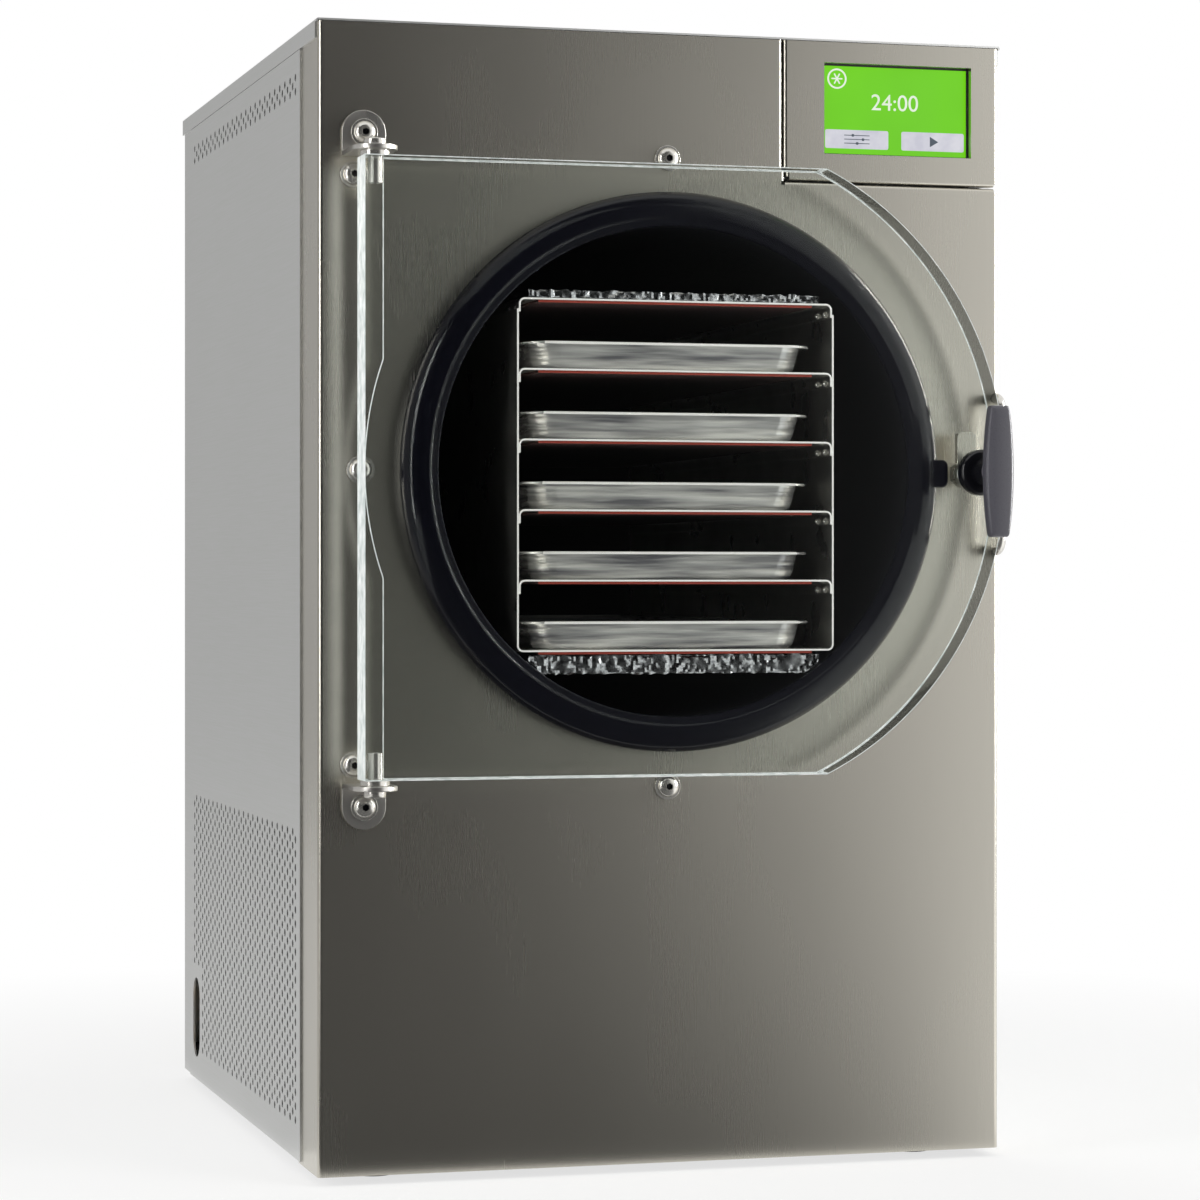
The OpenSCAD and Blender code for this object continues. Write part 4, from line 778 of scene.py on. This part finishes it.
def buildDisplay():
    s = displaySizes
    thin = s["proud"]
    parts = []
    x, up, radius, line = s["ring"]
    spot = onScreen(x, up, thin / 2)
    ring = newRod("iconRing", spot, radius * mm, thin * mm, s["ring steps"])
    editOn(ring)
    pick("FACE", lambda face: abs(face.normal.y) > 0.9)
    bpy.ops.mesh.inset(thickness=line * mm)
    bpy.ops.mesh.bridge_edge_loops()
    editOff()
    parts.append(ring)
    long, high, corner = s["bar"]
    for turn in (0, 60, 120):
        bar = screenPlate("iconBar", (x, up), radius * long, high, corner, 0.0, thin)
        editOn(bar)
        bpy.ops.mesh.select_all(action="SELECT")
        bpy.ops.transform.rotate(value=math.radians(turn), orient_axis="Y", center_override=spot)
        editOff()
        parts.append(bar)
    deselectAll()
    bpy.ops.object.text_add()
    digits = bpy.context.object
    digits.data.body = "24:00"
    digits.data.size = s["digits"] * mm
    digits.data.extrude = thin / 2 * mm
    digits.data.align_x = "CENTER"
    digits.data.align_y = "CENTER"
    bpy.ops.object.convert(target="MESH")
    digits = bpy.context.object
    digits.location = onScreen(*s["digits centre"], thin / 2)
    digits.rotation_euler = (math.pi / 2, 0, 0)
    activate(digits)
    bpy.ops.object.transform_apply(location=True, rotation=True, scale=True)
    parts.append(digits)
    marks = joinPieces(*parts)
    marks.name = "screenMarks"
    finishPiece(marks, screenWhite, "cabinet", (), 30)
    keys = joinPieces(*[screenPlate("key", centre, *s["button"], 0.0, thin) for centre in s["buttons"]])
    keys.name = "screenKeys"
    finishPiece(keys, screenKey, "cabinet", (), 30)
    icons = []
    left, right = s["buttons"]
    for row, slide in enumerate(s["knobs"]):
        up = left[1] + s["rows"] - s["rows"] * row
        icons.append(screenPlate("slider", (left[0], up), *s["slider"], thin, s["slider proud"]))
        icons.append(screenPlate("knob", (slide, up), *s["knob"], thin, s["icon proud"]))
    deselectAll()
    centre = onScreen(*right, thin + s["icon proud"] / 2)
    bpy.ops.mesh.primitive_cylinder_add(
        vertices=3, radius=s["arrow"] * mm, depth=s["icon proud"] * mm, location=centre,
        rotation=(math.pi / 2, math.pi / 2, 0))
    bpy.ops.object.transform_apply(location=True, rotation=True, scale=True)
    icons.append(bpy.context.object)
    icons = joinPieces(*icons)
    icons.name = "screenIcons"
    finishPiece(icons, screenInk, "cabinet", (), 30)


# button-head bolts

boltSizes = {
    "high": 4.6,
    "rim": 0.7,              # the head is straight up to here, then a dome
    "foot": 0.3,
    "flat": 2.4,             # half the width of the dome's flat
    "key": 2.3,              # half the hexagon's width over its corners
    "key deep": 2.4,
    "pole": 0.01,            # the outline ends so close to the axis
    "steps": 48,
}


def buildBolts():
    s = boltSizes
    islands = splitNode("panel_bolts")
    heads = []
    for low, high in islands:
        x = (low.x + high.x) / 2 / mm
        up = ((low.z + high.z) / 2 - chamberZ) / mm
        top = (panelFront - low.y) / mm
        seat = top - s["high"]
        radius = (high.x - low.x) / 2 / mm
        outline = [(s["pole"], seat), (radius - s["foot"], seat), (radius, seat + s["foot"]),
                   (radius, seat + s["rim"])]
        for step in range(1, 9):
            angle = math.radians(90 * step / 9)
            outline.append((s["flat"] + (radius - s["flat"]) * math.cos(angle),
                            seat + s["rim"] + (s["high"] - s["rim"]) * math.sin(angle)))
        outline += [(s["flat"], top), (s["pole"], top)]
        head = newTurned("bolt", outline, s["steps"], x, up)
        key = newRod("key", place(x, top, up), s["key"] * mm, s["key deep"] * 2 * mm, 6)
        cutAway(head, key)
        heads.append(head)
    bolts = joinPieces(*heads)
    bolts.name = "frontBolts"
    finishPiece(bolts, finishes["bright"], "cabinet", ["panel_bolts"], 35)

    def inSocket(face):
        for low, high in islands:
            off = math.hypot(face.center.x - (low.x + high.x) / 2, face.center.z - (low.z + high.z) / 2)
            if off < s["key"] * mm and face.center.y > low.y + 0.2 * mm:
                return True
        return False

    # painted shade: the sockets' insides get the glossy black moulding finish, though they are the same
    # steel
    addFinish(bolts, finishes["boss"], inSocket)    # the sockets are dark inside


# boxes of a node's separate solids, found by walking its joined faces
def splitNode(node):
    mesh = bmesh.new()
    mesh.from_mesh(nodes[node].data)
    bmesh.ops.remove_doubles(mesh, verts=mesh.verts, dist=0.01 * mm)
    seen = set()
    boxes = []
    for start in mesh.verts:
        if start in seen:
            continue
        group, queue = [], [start]
        seen.add(start)
        while queue:
            vertex = queue.pop()
            group.append(vertex.co.copy())
            for edge in vertex.link_edges:
                other = edge.other_vert(vertex)
                if other not in seen:
                    seen.add(other)
                    queue.append(other)
        boxes.append((Vector([min(p[i] for p in group) for i in range(3)]),
                      Vector([max(p[i] for p in group) for i in range(3)])))
    mesh.free()
    return boxes


# a CAD node's own shape with its loose triangles joined and its sharp edges rounded
def softCopy(node, name, width, segments=2):
    piece = bpy.data.objects.new(name, nodes[node].data.copy())
    bpy.context.scene.collection.objects.link(piece)
    editOn(piece)
    bpy.ops.mesh.select_all(action="SELECT")
    bpy.ops.mesh.customdata_custom_splitnormals_clear()
    bpy.ops.mesh.remove_doubles(threshold=sameSpot)
    bpy.ops.mesh.dissolve_limited(angle_limit=math.radians(0.5))
    editOff()
    bevelEdges(piece, width, segments)
    return piece


# rack, shelves and hardware, with a painted highlight along the front edges of the sheet

rackSizes = {
    "edge": 0.25,
    # the front edge carries a painted highlight so deep
    "pale": 0.8,             # the front edge is a pale line so deep
}


def buildRack():
    for node in ["rack_frame"] + ["shelf_%d" % number for number in range(1, 6)]:
        piece = softCopy(node, node.replace("_", "Sheet"), rackSizes["edge"])
        finishPiece(piece, finishes["rack"], "cabinet", [node])
        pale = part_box(node)[0].y + rackSizes["pale"] * mm
        # painted highlight: the front edge faces get the pale edge finish
        addFinish(piece, finishes["edge"], lambda face: face.center.y < pale)


rivetSizes = {
    "radius": 2.3,
    "down": 6.5,             # under a shelf's top
    "behind": (9, 24),       # behind its front edge
    "flange": 1.2,           # the centres lie so far in from the shelf's sides
}


def buildRivets():
    s = rivetSizes
    rivets = []
    for number in range(1, 6):
        low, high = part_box("shelf_%d" % number)
        for side in (-1, 1):
            face = (high.x if side > 0 else -low.x) - s["flange"] * mm
            for behind in s["behind"]:
                deselectAll()
                bpy.ops.mesh.primitive_uv_sphere_add(
                    segments=20, ring_count=10, radius=s["radius"] * mm,
                    location=(side * face, low.y + behind * mm, high.z - s["down"] * mm))
                rivet = bpy.context.object
                rivet.data.transform(rivet.matrix_world)
                rivet.matrix_world.identity()
                rivets.append(rivet)
    piece = joinPieces(*rivets)
    piece.name = "shelfRivets"
    finishPiece(piece, finishes["bright"], "cabinet", [], 80)


# parts that only need softer edges: node, piece, bevel in mm, finish, body and slot
def buildHardware():
    for node, name, width, finish, body, slot in (
            ("hinge_brackets", "hingePlates", 0.7, "rack", "cabinet", "rack_steel"),
            ("hinge_pins", "hingePins", 0.5, "bright", "cabinet", "bright_hardware"),
            ("hinge_washers", "hingeWashers", 0.25, "bright", "cabinet", "zinc_hardware"),
            ("hinge_bushes", "hingeSleeves", 0.4, "bright", "door", "bright_hardware"),
            ("panel_washers", "boltWashers", 0.3, "bright", "cabinet", "bright_hardware"),
            ("latch_keeper", "keeperRod", 0.5, "bright", "cabinet", "bright_hardware"),
            ("latch_tongue", "latchPlate", 0.4, "front", "latch", "zinc_hardware"),
            ("latch_housing", "latchBoss", 1.2, "boss", "door", "handle_plastic"),
            ("display_bezel", "screenSurround", 0.4, "nylon", "cabinet", "screen_frame")):
        piece = softCopy(node, name, width, 3)
        finishPiece(piece, finishes[finish], body, [node])


def buildMats():
    mats = softCopy("heater_mats", "heaterMats", 0.2)
    finishPiece(mats, finishes["silicone"], "cabinet", ["heater_mats"])
    # painted light: the faces that look forward get the lighter red copy
    addFinish(mats, finishes["siliconePaintedLit"], lambda face: face.normal.y < -0.5)


buildDoor()
buildGasket()
buildHandle()
for number in range(1, 6):
    buildTray("tray_%d" % number)
buildBlankets()
buildDisplay()
buildBolts()
buildRack()
buildRivets()
buildHardware()
buildMats()
print("pieces done")

# camera, light and floor

cameraSetup = {
    "place": (-0.6688, panelFront - 2.2167, panelLow.z + 0.3709),
    "turn": 15.725,     # degrees to the right of straight ahead
    "lens": 108.4,
    "shift": -0.01375,
}

camera = bpy.data.objects.new("camera", bpy.data.cameras.new("camera"))
bpy.context.scene.collection.objects.link(camera)
camera.location = cameraSetup["place"]
camera.rotation_euler = (math.radians(90), 0, -math.radians(cameraSetup["turn"]))
camera.data.lens = cameraSetup["lens"]
camera.data.shift_y = cameraSetup["shift"]
bpy.context.scene.camera = camera

studio = {
    "worldLight": 0.5,
    "floorSize": 16.0,
    "floorColour": "#f4f4f2",
    "floorGlow": 0.7,       # share of plain white under the object, so that its shadow stays faint
    "glowRange": (0.45, 1.1),    # over this distance the floor turns all white
    "roomAway": 3.4,        # the wall that the front mirrors, and where it starts and ends in degrees
    "roomHigh": 3.2,
    "roomFrom": -32,
    "roomTo": 60,
    "groundUp": 0.004,      # the room's floors lie so high, above the plain one
    # base, slope, rise and power, from dark on the left to bright on the right
    "wallTone": (0.0, 0.1, 0.66, 3.2),
    "floorTone": (0.05, 0.05, 0.62, 5.5),
    "toneBeyond": 0.13,     # share of the panel's width past its right edge where the tone still rises
    "rearTone": 0.42,
    "rearFloorTone": 0.62,
    "leftStripTone": 7.2,
    "rightStripTone": 54.0,
    "lampTone": 5,          # a card brighter than this is sampled as a lamp
}


# pale floor that turns plain white away from the object
def addFloor():
    deselectAll()
    bpy.ops.mesh.primitive_plane_add(size=studio["floorSize"], location=(0, 0, 0))
    floor = bpy.context.object
    floor.name = "floor"
    material, tree, shader = newMaterial("paleFloor", studio["floorColour"], roughness=0.9)
    glow = addNode(tree, "Emission", {"Color": (1, 1, 1, 1), "Strength": 1.0})
    coords = addNode(tree, "TexCoord")
    away = addNode(tree, "VectorMath", {"operation": "LENGTH"}, {0: coords.outputs["Object"]})
    near, far = studio["glowRange"]
    share = addNode(tree, "MapRange", {"From Min": near, "From Max": far, "To Min": studio["floorGlow"]},
                    {"Value": away.outputs["Value"]})
    mix = addNode(tree, "MixShader", None, {0: share.outputs["Result"], 1: shader.outputs["BSDF"],
                                            2: glow.outputs["Emission"]})
    tree.links.new(mix.outputs["Shader"], tree.nodes["Material Output"].inputs["Surface"])
    setFinish(floor, material)


# plain white to the eye, to mirrors and through glass, and a weaker light on everything
def setWorld():
    world = bpy.data.worlds.new("studioAir")
    bpy.context.scene.world = world
    world.use_nodes = True
    tree = world.node_tree
    background = tree.nodes["Background"]
    rays = addNode(tree, "LightPath")
    seen = addNode(tree, "Math", {"operation": "MAXIMUM"},
                   {0: rays.outputs["Is Camera Ray"], 1: rays.outputs["Is Glossy Ray"]})
    seen = addNode(tree, "Math", {"operation": "MAXIMUM"},
                   {0: seen.outputs["Value"], 1: rays.outputs["Is Transmission Ray"]})
    strength = addNode(tree, "MapRange", {"To Min": studio["worldLight"], "To Max": 1.0},
                       {"Value": seen.outputs["Value"]})
    tree.links.new(strength.outputs["Result"], background.inputs["Strength"])
    background.inputs["Color"].default_value = (1, 1, 1, 1)


# a soft lamp that mirrors and glass don't show
def addLamp(name, spot, target, width, height, power):
    lamp = bpy.data.objects.new(name, bpy.data.lights.new(name, "AREA"))
    bpy.context.scene.collection.objects.link(lamp)
    lamp.data.shape = "RECTANGLE"
    lamp.data.size = width
    lamp.data.size_y = height
    lamp.data.energy = power
    lamp.visible_glossy = False
    lamp.visible_transmission = False
    lamp.location = spot
    lamp.rotation_euler = (Vector(target) - Vector(spot)).to_track_quat("-Z", "Y").to_euler()


# a wall, a floor or a strip that only mirrors and glass see; its tone is even, or as in roomTone
def addCard(name, corners, tone):
    deselectAll()
    bpy.ops.mesh.primitive_plane_add(size=1)
    card = bpy.context.object
    card.name = name
    for vertex, corner in zip(card.data.vertices, corners):
        vertex.co = corner
    material, tree = newMaterial(name + "Cloth", "#808080", roughness=1.0)[:2]
    light = addNode(tree, "Emission", {"Color": (1, 1, 1, 1), "Strength": 1.0})
    if isinstance(tone, tuple):
        tree.links.new(roomTone(tree, *tone), light.inputs["Strength"])
    else:
        light.inputs["Strength"].default_value = tone
    tree.links.new(light.outputs["Emission"], tree.nodes["Material Output"].inputs["Surface"])
    if isinstance(tone, tuple) or tone < studio["lampTone"]:
        material.cycles.emission_sampling = "NONE"    # or it would count twice through the clear door
    setFinish(card, material)
    card.visible_camera = False
    card.visible_shadow = False
    card.visible_diffuse = False


# arithmetic on sockets and plain numbers
def reckon(tree, operation, first, second):
    node = addNode(tree, "Math", {"operation": operation})
    for socket, value in zip(node.inputs, (first, second)):
        if isinstance(value, (int, float)):
            socket.default_value = value
        else:
            tree.links.new(value, socket)
    return node.outputs["Value"]


# brightness of a spot in the room: base + slope * t + rise * t ** power,
# where t says how far across the front panel it is mirrored, from 0 on the left to 1 on the right
def roomTone(tree, base, slope, rise, power):
    spot = addNode(tree, "SeparateXYZ", None, {"Vector": addNode(tree, "TexCoord").outputs["Object"]})
    away = panelFront - cameraSetup["place"][1]
    half, beyond = panelHigh.x, studio["toneBeyond"]
    distance = reckon(tree, "SUBTRACT", panelFront, spot.outputs["Y"])
    aside = reckon(tree, "MULTIPLY", distance, cameraSetup["place"][0] / away)
    widen = reckon(tree, "ADD", reckon(tree, "MULTIPLY", distance, 1 / away), 1.0)
    across = reckon(tree, "DIVIDE", reckon(tree, "ADD", spot.outputs["X"], aside), widen)
    t = addNode(tree, "MapRange", {"From Min": -half, "From Max": half * (1 + 2 * beyond), "To Min": 0.0,
                                   "To Max": 1 + beyond}, {"Value": across}).outputs["Result"]
    curve = reckon(tree, "MULTIPLY", reckon(tree, "POWER", t, power), rise)
    return reckon(tree, "ADD", reckon(tree, "ADD", reckon(tree, "MULTIPLY", t, slope), base), curve)


# a spot on the ground, so many degrees to the right of straight ahead
def groundSpot(degrees, away):
    angle = math.radians(degrees)
    return Vector((math.sin(angle) * away, -math.cos(angle) * away, studio["groundUp"]))


# corners of a wall over the line between two spots
def upright(first, second, high):
    rise = Vector((0, 0, high))
    return Vector(first), Vector(second), Vector(first) + rise, Vector(second) + rise


def addRoom():
    left, right = (groundSpot(studio[key], studio["roomAway"]) for key in ("roomFrom", "roomTo"))
    near, up = panelFront - 0.02, studio["groundUp"]
    # what the front mirrors
    addCard("roomWall", upright(left, right, studio["roomHigh"]), studio["wallTone"])
    addCard("roomFloor", ((-0.7, near, up), (1.0, near, up), left, right), studio["floorTone"])
    addCard("leftWall", upright((-3.3, -0.2, 0), left, studio["roomHigh"]), studio["wallTone"])
    # what the left side mirrors
    addCard("rearWall", upright((-1.7, -0.6, 0), (-0.45, 5.0, 0), 2.8), studio["rearTone"])
    addCard("rearFloor", ((-1.7, -0.6, up), (-0.24, -0.1, up), (-0.45, 5.0, up), (-0.24, 5.0, up)),
            studio["rearFloorTone"])
    # streaks of light along the gasket, the handle and the bolts
    addCard("leftStrip", upright((-1.06, -0.62, 0.25), (-0.95, -0.80, 0.25), 0.95), studio["leftStripTone"])
    addCard("rightStrip", upright((1.12, -0.40, 0.3), (1.10, -0.54, 0.3), 1.0), studio["rightStripTone"])


addFloor()
setWorld()
addRoom()
addLamp("keyLamp", (2.2, -2.6, 2.6), (0, 0, 0.4), 1.6, 1.6, 42)
addLamp("leftLamp", (-3.0, -0.9, 1.1), (0, 0, 0.4), 1.0, 1.8, 60)
addLamp("lowLamp", (-0.4, -3.2, 0.9), (0, 0, 0.45), 1.0, 1.0, 18)
print("studio done")

bpy.context.scene.view_settings.view_transform = "Standard"
